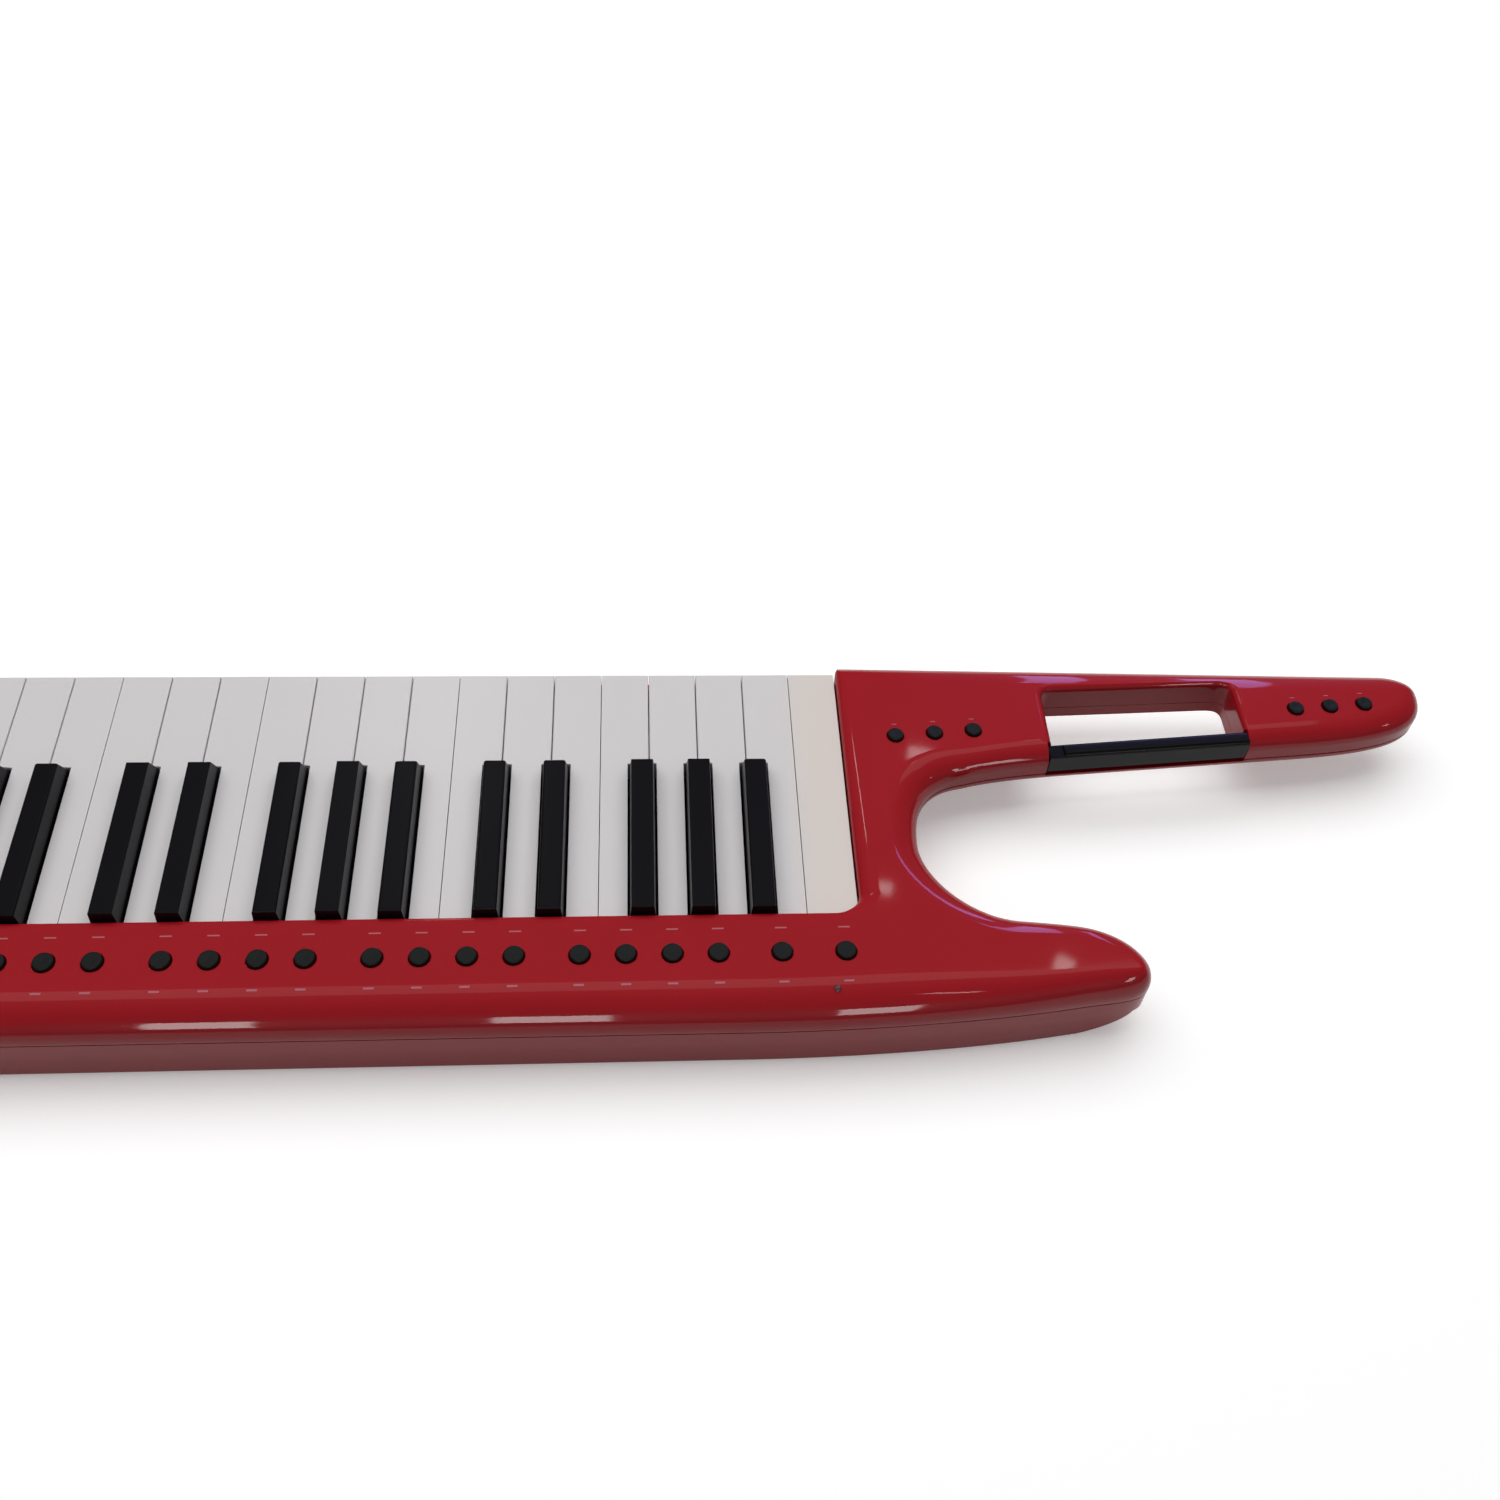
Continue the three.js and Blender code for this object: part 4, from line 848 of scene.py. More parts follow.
@dataclass
class Neck:
    """The grip's opening and the bar's pocket in the neck."""

    outline: CaseOutline
    start: float = 104.0
    length: float = 99.0
    limb: float = 17.0
    limb_end: float = 10.6
    corner: float = 5.0
    bar_width: float = 8.0
    bar_pocket: float = 1.5
    bar_low: float = 30.5
    bar_top: float = 42.5
    gap: float = 0.4

    def far_side(self, reach: float) -> float:
        """Return the opening's side towards the keys' fronts, at a reach from the keys."""
        slope = (self.limb - self.limb_end) / self.length
        return self.outline.front_edge(reach) + self.limb - slope * (reach - self.start)

    def near_side(self, reach: float) -> float:
        """Return the opening's side along the bar, at a reach from the keys."""
        return self.outline.rear_edge(reach) - self.bar_width

    def grip(self) -> list[Point]:
        """Return the opening's outline, anticlockwise."""
        start, end, corner = self.start, self.start + self.length, self.corner
        far, near = self.far_side, self.near_side
        points = [(-start, near(start)), (-end, near(end)), (-end, far(end) + 2 * corner)]
        inner = end - 2 * corner
        tip_pulls = [(-end, far(end) + corner / 2), (-end, far(end))]
        points += bezier([points[-1], *tip_pulls, (-inner, far(inner))], 10)
        points.append((-start - corner, far(start + corner)))
        points += bezier([points[-1], (-start, far(start)), (-start, far(start) + corner)], 8)
        return points

    def pocket(self, margin: float) -> list[Point]:
        """Return the outline of the bar's pocket, grown by a margin, anticlockwise."""
        start = self.start - self.bar_pocket - margin
        end = self.start + self.length + self.bar_pocket + margin
        lean = self.bar_width * self.outline.rear_slope
        out = self.outline.neck_rear + 6.0
        return [
            (lean - start, self.near_side(start) - margin),
            (-start, self.outline.rear_edge(start)),
            (-start, out),
            (-end, out),
            (-end, self.outline.rear_edge(end)),
            (lean - end, self.near_side(end) - margin),
        ]


@dataclass
class Buttons:
    """Rows of round rubber buttons on the panel and the neck."""

    outline: CaseOutline
    row: float = 167.5
    pair_start: float = 8.4
    pair_pitch: float = 28.2
    quad_start: float = 64.5
    quad_step: float = 88.9
    quad_count: int = 4
    quad_pitch: float = 20.2
    neck_rows: tuple[tuple[str, float, float], ...] = (  # node, reach of the first cap and pitch
        ("neck_base_buttons", 26.5, 19.5),
        ("neck_tip_buttons", 232.3, 18.2),
    )
    panel_radius: float = 4.4
    neck_radius: float = 3.8
    proud: float = 1.8
    web_low: float = 39.1
    web_top: float = 40.7
    web_margin: float = 0.9
    case_top: float = 44.0
    neck_inset: float = 18.5
    clearance: float = 0.4
    hole_edge: float = 0.45
    sides: int = 40
    shoulder: float = 0.7
    dish_steps: tuple[Point, ...] = ((0.3, 0.0), (0.25, 0.18), (0.15, 0.06))  # inset share and drop

    def gangs(self) -> dict[str, tuple[float, list[Point]]]:
        """Return each gang's cap radius and cap places, by the name of its node."""
        pair = [(self.pair_start + self.pair_pitch * i, self.row) for i in range(2)]
        found = {"panel_buttons_pair": (self.panel_radius, pair)}
        for quad in range(self.quad_count):
            start = self.quad_start + self.quad_step * quad
            places = [(start + self.quad_pitch * i, self.row) for i in range(4)]
            found[f"panel_buttons_{quad + 1}"] = (self.panel_radius, places)
        for name, start, pitch in self.neck_rows:
            reaches = [start + pitch * i for i in range(3)]
            places = [(-reach, self.outline.rear_edge(reach) - self.neck_inset) for reach in reaches]
            found[name] = (self.neck_radius, places)
        return found

    def holes(self) -> bpy.types.Object:
        """Return a cutter with every hole, each with a softened edge."""
        cutters = []
        for radius, places in self.gangs().values():
            last = 360.0 * (self.sides - 1) / self.sides
            outline = arc((0.0, 0.0), radius + self.clearance, 0.0, last, self.sides - 1)
            for x, y in places:
                moved = [(x + a, y + b) for a, b in outline]
                cutters.append(flared("hole", moved, (self.web_low, self.case_top), self.hole_edge, 3))
        return join("holes", cutters)

    def cap(self, radius: float) -> bpy.types.Object:
        """Return one cap at the frame's own origin: a dome with a soft shoulder and a shallow dish."""
        clear_selection()
        low = self.web_low + 0.6
        top = self.case_top + self.proud
        bpy.ops.mesh.primitive_cylinder_add(
            vertices=self.sides,
            radius=radius * MM,
            depth=(top - low) * MM,
            location=(0.0, 0.0, (top + low) / 2 * MM),
        )
        piece = settle(named("cap"))
        edit(piece, "FACE")
        select(piece, lambda face: face.normal.z > 0.9)
        bpy.ops.mesh.bevel(offset=self.shoulder * MM, segments=5)
        large = (radius * MM) ** 2
        select(piece, lambda face: face.normal.z > 0.99 and face.calc_area() > large)
        for share, depth in self.dish_steps:
            bpy.ops.mesh.inset(thickness=radius * share * MM)
            bpy.ops.transform.translate(value=(0.0, 0.0, -depth * MM))
        bpy.ops.object.mode_set(mode="OBJECT")
        return piece

    def build(self, palette: Palette) -> Iterable[bpy.types.Object]:
        """Model each gang as one moulded strip with its caps, and set it on its own body."""
        for node, (radius, places) in self.gangs().items():
            first, last = Vector(places[0]), Vector(places[-1])
            lean = math.degrees(math.atan2(last.y - first.y, last.x - first.x))
            reach = radius + self.web_margin
            strip = arc(tuple(first), reach, lean + 90, lean + 270, 16)
            strip += arc(tuple(last), reach, lean - 90, lean + 90, 16)
            web = prism("web", strip, self.web_low, self.web_top)
            cap = self.cap(radius)
            caps = [duplicate(cap, "cap", FRAME.at(x, y, 0.0)) for x, y in places]
            bpy.data.objects.remove(cap)
            piece = join(node + "_pad", [web, *caps])
            shade(piece)
            palette.dress(piece, BUTTON)
            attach(piece, node)
            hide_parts(node)
            yield piece


@dataclass
class UpperShell:
    """The upper case: rounded shell, bay for the keys, panel with its lip, horn and neck top."""

    rim: Rim
    front: float
    neck: Neck
    buttons: Buttons
    seam: float = 29.0
    top: float = 44.0
    wall: float = 3.0
    keys_end: float = 634.5
    clearance: float = 0.6
    key_length: float = 147.4
    tail_end: float = 162.2
    lip_low: float = 38.6
    lip: float = 2.0
    bay_corner: float = 12.0
    cheek_corner: float = 6.0
    cheek_edge: float = 5.0
    cheek_spread: float = 2.0
    panel_edge: float = 0.7
    grip_edge: float = 3.6
    pocket_edge: float = 0.5
    cutter_low: float = 20.0
    bay_low: float = 22.0
    steps: int = 12

    def rings(self) -> list[Ring]:
        """Return the outer surface's rings, from the seam to the flat top."""
        ring = self.rim.ring
        found = [
            ring(lambda *_: GROOVE, lambda _: self.seam),
            ring(lambda *_: GROOVE_EASE, lambda _: self.seam + GROOVE_RISE),
        ]
        for step in range(self.steps + 1):
            angle = QUARTER * step / self.steps
            found.append(
                ring(
                    lambda _, reach, angle=angle: reach * (1.0 - math.cos(angle)),
                    lambda drop, angle=angle: self.top - drop * (1.0 - math.sin(angle)),
                )
            )
        return found

    def hollow(self) -> bpy.types.Object:
        """Return the space inside the shell, without the walls beside the keys, the grip and the bar."""
        ring = self.rim.ring
        rings = [ring(lambda *_: self.wall, lambda _: self.seam - 6.0)]
        for step in range(3):
            angle = QUARTER * step / 2
            rings.append(
                ring(
                    lambda drop, reach, angle=angle: self.wall
                    + max(min(drop, reach) - self.wall, 0.5) * (1.0 - math.cos(angle)),
                    lambda drop, angle=angle: self.top - drop + (drop - self.wall) * math.sin(angle),
                )
            )
        space = ring_stack("hollow", rings)
        margin = self.clearance + self.wall
        height = (self.cutter_low, OVER_TOP)
        keybed = (AHEAD, self.tail_end + self.wall)
        combine(space, block("cheeks", (-margin, self.keys_end + margin), keybed, height))
        combine(space, prism("grip walls", grown(self.neck.grip(), self.wall), *height))
        combine(space, prism("pocket walls", grown(self.neck.pocket(0.0), self.wall), *height))
        return space

    def bay(self) -> list[Point]:
        """Return the outline of the bay that the keys lie in, anticlockwise."""
        low, high, radius = -self.clearance, self.keys_end + self.clearance, self.bay_corner
        rear = self.key_length - radius
        corner = self.cheek_corner
        middle = corner - self.front
        points = [(low - corner, AHEAD), (high + corner, AHEAD)]
        points += arc((high + corner, middle), corner, -90, -180, 10)
        points += arc((high - radius, rear), radius, 0, 90, 16)
        points += arc((low + radius, rear), radius, 90, 180, 16)
        points += arc((low - corner, middle), corner, 0, -90, 10)
        return points

    def bay_rounding(self, _: float, y: float) -> float:
        """Return the drop of the bay's edge: round beside the keys, crisp along the panel."""
        turn = self.key_length - self.bay_corner
        return mix(self.cheek_edge, self.panel_edge, smoothstep(y, turn, self.key_length))

    def bay_cutter(self) -> bpy.types.Object:
        """Model the bay's cutter, which leaves the cheeks' edges round and the panel's edge crisp."""
        ring = Rim(self.bay(), self.bay_rounding, lambda *_: self.cheek_spread, near=1, side=-1).ring
        rings = [ring(lambda *_: 0.0, lambda _: self.bay_low)]
        for step in range(self.steps + 1):
            angle = QUARTER * step / self.steps
            rings.append(
                ring(
                    lambda _, reach, angle=angle: reach * (math.cos(angle) - 1.0),
                    lambda drop, angle=angle: self.top - drop * (1.0 - math.sin(angle)),
                )
            )
        rings.append(ring(lambda _, reach: -reach, lambda _: self.top + OVERRUN))
        return ring_stack("bay", rings)

    def build(self, palette: Palette) -> bpy.types.Object:
        """Model the shell, and set it on the case."""
        piece = ring_stack("upper_shell", self.rings())
        combine(piece, self.hollow())
        span = (-self.clearance, self.keys_end + self.clearance)
        combine(piece, block("keys", span, (AHEAD, self.tail_end), (self.bay_low, self.lip_low)))
        tails = (self.key_length + self.lip, self.tail_end + self.wall + 0.2)
        combine(piece, block("under panel", span, tails, (self.bay_low, self.top - self.wall)))
        combine(piece, self.bay_cutter())
        height = (self.cutter_low, self.top)
        combine(piece, flared("grip", self.neck.grip(), height, self.grip_edge, 8))
        combine(piece, flared("pocket", self.neck.pocket(self.neck.gap), height, self.pocket_edge, 3))
        combine(piece, self.buttons.holes())
        shade(piece)
        palette.dress(piece, RED_SHELL)
        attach(piece, CASE)
        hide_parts("upper_case")
        return piece


@dataclass
class LowerShell:
    """The lower case: tray with a step line, front wall, raised horn and the neck's underside."""

    rim: Rim
    neck: Neck
    upper: UpperShell
    rim_top: float = 28.7
    wall: float = 3.0
    foot: float = 3.0  # rounding of the lower edge
    step: float = 18.0  # height of the step line
    step_inset: float = 1.2
    neck_low: float = 22.0
    neck_foot: float = 6.0
    root_fillet: float = 10.0
    horn_lift: float = 20.0
    plate_low: float = 3.3
    front_wall: float = 26.0
    root: float = -33.1  # where the body ends and the neck is hollow by itself
    root_hollow: float = -26.5
    horn_bend: tuple[float, float, float] = (-80.6, -110.5, -130.6)  # start, pull and tip, along X
    horn_floor: Point = (-131.0, -78.0)
    neck_hollow: float = 25.0  # heights from which the neck and the horn are hollow
    horn_hollow: float = 19.0
    body_hollow: float = 36.0
    pocket_low: float = 27.6
    screw_radius: float = 3.0
    screw_depth: float = 6.0
    boss_inset: float = 8.0
    treble_boss: float = 32.25
    horn_boss: Place = (-103.97, 171.14, 8.0)
    neck_bosses: tuple[Point, ...] = ((96.0, 8.0), (286.0, 16.0))  # reach and setback

    @property
    def outline(self) -> CaseOutline:
        """Return the case's outline."""
        return self.neck.outline

    def tray(
        self, name: str, low: float, foot: float, inset: float, above: Sequence[Point], steps: int
    ) -> bpy.types.Object:
        """Model a solid over the outline with a rounded lower edge.

        Args:
            name: The solid's name.
            low: The height of its flat underside.
            foot: The rounding of its lower edge.
            inset: The inset of its wall.
            above: Further rings, as inset and height.
            steps: The steps of the rounding.

        Returns:
            The solid.
        """
        levels = []
        for step in range(steps + 1):
            angle = QUARTER * step / steps
            levels.append((inset + foot * (1.0 - math.sin(angle)), low + foot * (1.0 - math.cos(angle))))
        levels += above
        ring = self.rim.ring
        return ring_stack(name, [ring(lambda *_, i=i: i, lambda _, h=h: h) for i, h in levels])

    def underside(self, name: str, profile: Sequence[Point], y: Point) -> bpy.types.Object:
        """Model a cutter from a profile in X and Z, along Y."""
        return ring_stack(name, [[(x, depth, z) for x, z in profile] for depth in y])

    def under_neck(self) -> bpy.types.Object:
        """Return what is cut away under the neck."""
        wall = -(self.outline.cheek_face - self.wall)
        radius = self.root_fillet
        profile = [(wall, BELOW)]
        profile += arc((wall - radius, self.neck_low - radius), radius, 0, 90, 12)
        profile += [(PAST_TIP, self.neck_low), (PAST_TIP, BELOW)]
        return self.underside("under neck", profile, (AHEAD, self.outline.middle))

    def under_horn(self) -> bpy.types.Object:
        """Return what is cut away under the horn, so that it sweeps up to its tip."""
        start, pull, tip = self.horn_bend
        profile = [(start, BELOW), (start, 0.0)]
        profile += bezier([(start, 0.0), (pull, 0.0), (tip, self.horn_lift)], 16)
        profile += [(PAST_HORN, self.horn_lift), (PAST_HORN, BELOW)]
        return self.underside("under horn", profile, (self.outline.middle, BEHIND))

    def span(self) -> bpy.types.Object:
        """Return the space of the body and the horn, without the neck."""
        height = (BELOW, ABOVE)
        space = block("body span", (self.root, self.outline.treble_end + 10.0), (AHEAD, BEHIND), height)
        combine(space, block("horn span", (PAST_HORN, 0.0), (self.outline.middle, BEHIND), height), "UNION")
        return space

    def neck_part(self, tray: bpy.types.Object) -> bpy.types.Object:
        """Cut a tray down to the neck, and return it."""
        length = (PAST_TIP, -self.outline.cheek_face)
        combine(tray, block("neck span", length, (AHEAD, self.outline.middle), (0.0, ABOVE)), "INTERSECT")
        return tray

    def build(self, palette: Palette) -> bpy.types.Object:
        """Model the shell, and set it on the case."""
        lip = [(GROOVE_EASE, self.rim_top - GROOVE_RISE), (GROOVE, self.rim_top)]
        inset, step = self.step_inset, self.step
        ledge = [(inset, step - 1.4), (inset - 0.3, step - 1.1), (0.25, step - 0.35), (0.0, step)]
        piece = self.tray("lower_shell", 0.0, self.foot, inset, ledge + lip, 6)
        combine(piece, self.under_neck())
        combine(piece, self.under_horn())
        combine(piece, self.span(), "INTERSECT")
        limb = self.tray("neck", self.neck_low, self.neck_foot, 0.0, lip, 8)
        combine(piece, self.neck_part(limb), "UNION")
        combine(piece, self.body_space())
        combine(piece, self.neck_space())
        clearance = self.upper.clearance
        span = (-clearance, self.upper.keys_end + clearance)
        keybed = (-clearance, self.upper.tail_end)
        combine(piece, prism("gate", self.upper.bay(), self.front_wall, ABOVE))
        combine(piece, block("keys", span, keybed, (self.plate_low, ABOVE)))
        combine(piece, prism("grip", self.neck.grip(), 0.0, OVER_TOP))
        combine(piece, prism("rail", self.neck.pocket(self.neck.gap), self.pocket_low, OVER_TOP))
        combine(piece, self.recesses())
        combine(piece, SocketPlate().window())
        shade(piece)
        palette.dress(piece, RED_SHELL)
        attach(piece, CASE)
        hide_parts("lower_case")
        return piece

    def body_space(self) -> bpy.types.Object:
        """Return the space inside the body and the horn."""
        inset = self.wall + self.step_inset
        hollow = self.tray("hollow", self.wall, self.foot, inset, [(inset, self.body_hollow)], 2)
        combine(hollow, self.span(), "INTERSECT")
        middle = self.outline.middle
        neck = (PAST_TIP, self.root_hollow)
        combine(hollow, block("root wall", neck, (AHEAD, middle), (0.0, self.neck_hollow)))
        combine(hollow, block("horn floor", self.horn_floor, (middle, BEHIND), (0.0, self.horn_hollow)))
        return hollow

    def neck_space(self) -> bpy.types.Object:
        """Return the space inside the neck, without the walls round the grip and the bar."""
        wall = self.wall
        floor = self.neck_low + wall
        limb = self.neck_part(self.tray("neck hollow", floor, wall, wall, [(wall, self.body_hollow)], 2))
        combine(limb, prism("grip walls", grown(self.neck.grip(), wall), 0.0, OVER_TOP))
        combine(limb, prism("pocket walls", grown(self.neck.pocket(0.0), wall), 0.0, OVER_TOP))
        return limb

    def screws(self) -> list[tuple[float, float, float, float]]:
        """Return each screw's place, the height of the underside there and its recess's depth."""
        treble = self.outline.treble_end - self.treble_boss
        rear, front = self.outline.rear - self.boss_inset, self.boss_inset
        bass = -self.outline.cheek_face / 2
        key_length = self.upper.key_length
        places = [(self.upper.keys_end * share, rear) for share in (0.125, 0.375, 0.625, 0.875)]
        places += [(treble, self.outline.rear - self.outline.rear_corner), (treble, 2 * front)]
        places += [(bass, key_length), (bass, front)]
        found = [(x, y, 0.0, self.screw_depth) for x, y in places]
        found.append((*self.horn_boss, self.screw_depth))
        for reach, setback in self.neck_bosses:
            y = self.outline.front_edge(reach) + setback
            found.append((-reach, y, self.neck_low, self.screw_depth / 2))
        return found

    def recesses(self) -> bpy.types.Object:
        """Return a cutter with the recesses of the screws."""
        cutters = [
            column("recess", x, y, (low + BELOW, low + depth), self.screw_radius, 32)
            for x, y, low, depth in self.screws()
        ]
        return join("recesses", cutters)

    def build_screws(self, palette: Palette) -> Iterable[bpy.types.Object]:
        """Model one cross-head screw, and set a copy in each recess."""
        clear_selection()
        radius, height = (self.screw_radius - 0.35) * MM, 1.6 * MM
        slot_length, slot_width = 3.2 * MM, 0.6 * MM
        bpy.ops.mesh.primitive_cylinder_add(
            vertices=32, radius=radius, depth=height, location=(0.0, 0.0, -height / 2)
        )
        screw = settle(named("screw"))
        for turn in (0.0, QUARTER):
            clear_selection()
            bpy.ops.mesh.primitive_cube_add(size=1.0, location=(0.0, 0.0, -height), rotation=(0.0, 0.0, turn))
            slot = named("slot")
            slot.scale = (slot_length, slot_width, height)
            combine(screw, settle(slot))
        soften(screw, 0.3, 3)
        shade(screw)
        for number, (x, y, low, depth) in enumerate(self.screws(), 1):
            piece = duplicate(screw, f"case_screw_{number:02d}", FRAME.at(x, y, low + depth - 0.05))
            palette.dress(piece, SCREW)
            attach(piece, CASE)
            yield piece
        bpy.data.objects.remove(screw)


# ---------------------------------------------------------------- keys and the bar


class KeyKind(Enum):
    """The two kinds of key."""

    WHITE = "white"
    BLACK = "black"


@dataclass
class Keys:
    """The keys: each packed key's own shape with its edges rounded as the moulding has them."""

    nodes: dict[str, bpy.types.Object]
    kind: KeyKind
    rounding: float
    segments: int
    white_top: float = 38.0
    black_rise: float = 11.0
    room: float = 7.85  # a black key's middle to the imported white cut-outs beside it
    trim: float = 0.85  # how much closer to it they are made
    closer: float = 0.3  # how far each side of a white key moves out
    foot_share: float = 0.876  # of a packed black key's width
    crown_share: float = 1.07
    hinge: Point = (156.0, 31.0)  # depth and height of the tails' axis
    notch: float = 3.4  # packed radius of a tail's notch
    notch_ease: float = 0.1  # share by which it opens
    notch_band: Point = (0.93, 1.01)  # shares of the radius between which its points lie
    waist: float = 50.0  # depth past which the white keys have their cut-outs
    same: float = 0.06  # points this close to a side lie on it
    skirt: float = 26.2  # lowest height of a rounded edge
    panel: float = 149.0  # depth up to which edges show
    sharp: float = 20.0  # least angle of a rounded edge, in degrees

    def black_middles(self) -> list[float]:
        """Return where the black keys' middles lie along the row, in metres."""
        blacks = [node for name, node in self.nodes.items() if name.startswith(KeyKind.BLACK.value)]
        return [sum(corner[0] for corner in node.bound_box) / 8 for node in blacks]

    def fit(self, piece: bpy.types.Object, middles: Sequence[float]) -> None:
        """Bring a black key, or a white key's cut-out beside it, to the slim width that shows.

        Args:
            piece: The key.
            middles: The black keys' middles along the row, in metres.
        """
        waist = FRAME.at(0.0, self.waist, 0.0).y
        same = self.same * MM
        sides = [end(v.co.x for v in piece.data.vertices) for end in (min, max)]
        for vertex in piece.data.vertices:
            middle = min(middles, key=lambda m: abs(m - vertex.co.x))
            across = vertex.co.x - middle
            if self.kind is KeyKind.BLACK:
                rise = (vertex.co.z / MM - self.white_top) / self.black_rise
                share = mix(self.foot_share, self.crown_share, min(max(rise, 0.0), 1.0))
                vertex.co.x = middle + across * share
            elif vertex.co.y > waist and abs(abs(across) - self.room * MM) < same:
                vertex.co.x = middle + math.copysign((self.room - self.trim) * MM, across)
            elif min(abs(vertex.co.x - side) for side in sides) < same:
                vertex.co.x += math.copysign(self.closer * MM, vertex.co.x - sum(sides) / 2)

    def ease(self, piece: bpy.types.Object) -> None:
        """Open the tail's round notch a little, so that its flats clear the hinge edge at every angle."""
        axis = FRAME.at(0.0, *self.hinge)
        for vertex in piece.data.vertices:
            out = (vertex.co - axis) * Vector((0.0, 1.0, 1.0))
            if self.notch_band[0] < out.length / (self.notch * MM) < self.notch_band[1]:
                vertex.co += out * self.notch_ease

    def build(self, palette: Palette) -> Iterable[bpy.types.Object]:
        """Round and finish each key, and set it on its own body."""
        finish = WHITE_KEY if self.kind is KeyKind.WHITE else BLACK_KEY
        middles = self.black_middles()
        for node in sorted(n for n in self.nodes if n.startswith(self.kind.value)):
            piece = copy_of_node(self.nodes[node], node + "_cap")
            self.fit(piece, middles)
            self.ease(piece)
            self.round_top(piece)
            shade(piece)
            palette.dress(piece, finish)
            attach(piece, node)
            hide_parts(node)
            yield piece

    def round_top(self, piece: bpy.types.Object) -> None:
        """Round the edges that show: those of the top and the front, above the skirt."""
        edit(piece, "EDGE")
        select(piece, self.shown, "EDGE")
        bpy.ops.mesh.bevel(
            offset=self.rounding * MM, segments=self.segments, profile=0.5, clamp_overlap=True
        )
        bpy.ops.object.mode_set(mode="OBJECT")

    def shown(self, edge: bmesh.types.BMEdge) -> bool:
        """Tell whether an edge is a sharp outer one, above the skirt and before the panel."""
        rear = FRAME.at(0.0, self.panel, 0.0).y
        within = all(v.co.z > self.skirt * MM and v.co.y < rear for v in edge.verts)
        convex = len(edge.link_faces) == 2 and edge.is_convex
        sharp = convex and edge.calc_face_angle() > math.radians(self.sharp)
        return within and sharp and self.outer(edge)

    def outer(self, edge: bmesh.types.BMEdge) -> bool:
        """Tell whether an edge belongs to the key's outside: it borders the top or the front."""
        directions = [face.normal for face in edge.link_faces]
        upright = any(d.z > 0.3 for d in directions) or any(d.y < -0.3 for d in directions)
        return upright and all(d.z > -0.5 for d in directions)


@dataclass
class ExpressionBar:
    """The bar along the neck's rear edge: a rounded stick with a step at its root end, on two stems."""

    neck: Neck
    rounding: float = 2.5
    end_step: float = 7.5
    step_depth: float = 1.4
    crisp: float = 0.35
    stem_inset: float = 14.0
    stem_length: float = 4.0
    stem_radius: float = 1.6
    stem_lap: float = 0.6  # how far a stem reaches into the bar

    def build(self, palette: Palette) -> bpy.types.Object:
        """Model the bar with its guide stems, and set it on its own body."""
        outline = self.neck.outline
        start = self.neck.start - self.neck.bar_pocket
        end = self.neck.start + self.neck.length + self.neck.bar_pocket
        ends = [Vector((-r, outline.rear_edge(r))) for r in (end, start)]
        run = (ends[1] - ends[0]).length
        width = self.neck.bar_width
        height = self.neck.bar_top - self.neck.bar_low
        clear_selection()
        bpy.ops.mesh.primitive_cube_add(size=1.0)
        piece = named("expression_bar_stick")
        piece.scale = (run * MM, width * MM, height * MM)
        settle(piece)
        edit(piece, "EDGE")
        select(piece, lambda edge: self.long_top(edge, run * MM), "EDGE")
        bpy.ops.mesh.bevel(offset=self.rounding * MM, segments=8)
        bpy.ops.object.mode_set(mode="OBJECT")
        self.step_end(piece, run / 2, height / 2)
        soften(piece, self.crisp, 2, 50)
        lean = math.atan2(ends[1].y - ends[0].y, ends[1].x - ends[0].x)
        middle = (ends[0] + ends[1]) / 2
        across = Vector((math.sin(lean), -math.cos(lean))) * width / 2
        low = self.neck.bar_low
        place = FRAME.at(middle.x + across.x, middle.y + across.y, low + height / 2)
        piece.data.transform(Matrix.Translation(place) @ Matrix.Rotation(lean, 4, "Z"))
        stems = []
        first, last = self.neck.start, self.neck.start + self.neck.length
        stem = (low - self.stem_length, low + self.stem_lap)
        for reach in (first + self.stem_inset, last - self.stem_inset):
            y = outline.rear_edge(reach) - width / 2
            stems.append(column("stem", -reach, y, stem, self.stem_radius, 20))
        piece = join("expression_bar_stick", [piece, *stems])
        shade(piece)
        palette.dress(piece, BAR)
        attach(piece, "expression_bar")
        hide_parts("expression_bar")
        return piece

    def long_top(self, edge: bmesh.types.BMEdge, run: float) -> bool:
        """Tell whether an edge runs along the bar's top."""
        low, high = (v.co for v in edge.verts)
        return low.z > 0 and high.z > 0 and abs(low.x - high.x) > run / 2

    def step_end(self, piece: bpy.types.Object, end: float, top: float) -> None:
        """Cut the bar's root end down by a step, where the neck's lip covers it when it is pressed."""
        clear_selection()
        over = 1.0
        middle = end - self.end_step / 2 + over
        bpy.ops.mesh.primitive_cube_add(size=1.0, location=(middle * MM, 0.0, top * MM))
        cutter = named("end step")
        cutter.scale = ((self.end_step + 2 * over) * MM, 30 * MM, 2 * self.step_depth * MM)
        combine(piece, settle(cutter))


# ---------------------------------------------------------------- fittings


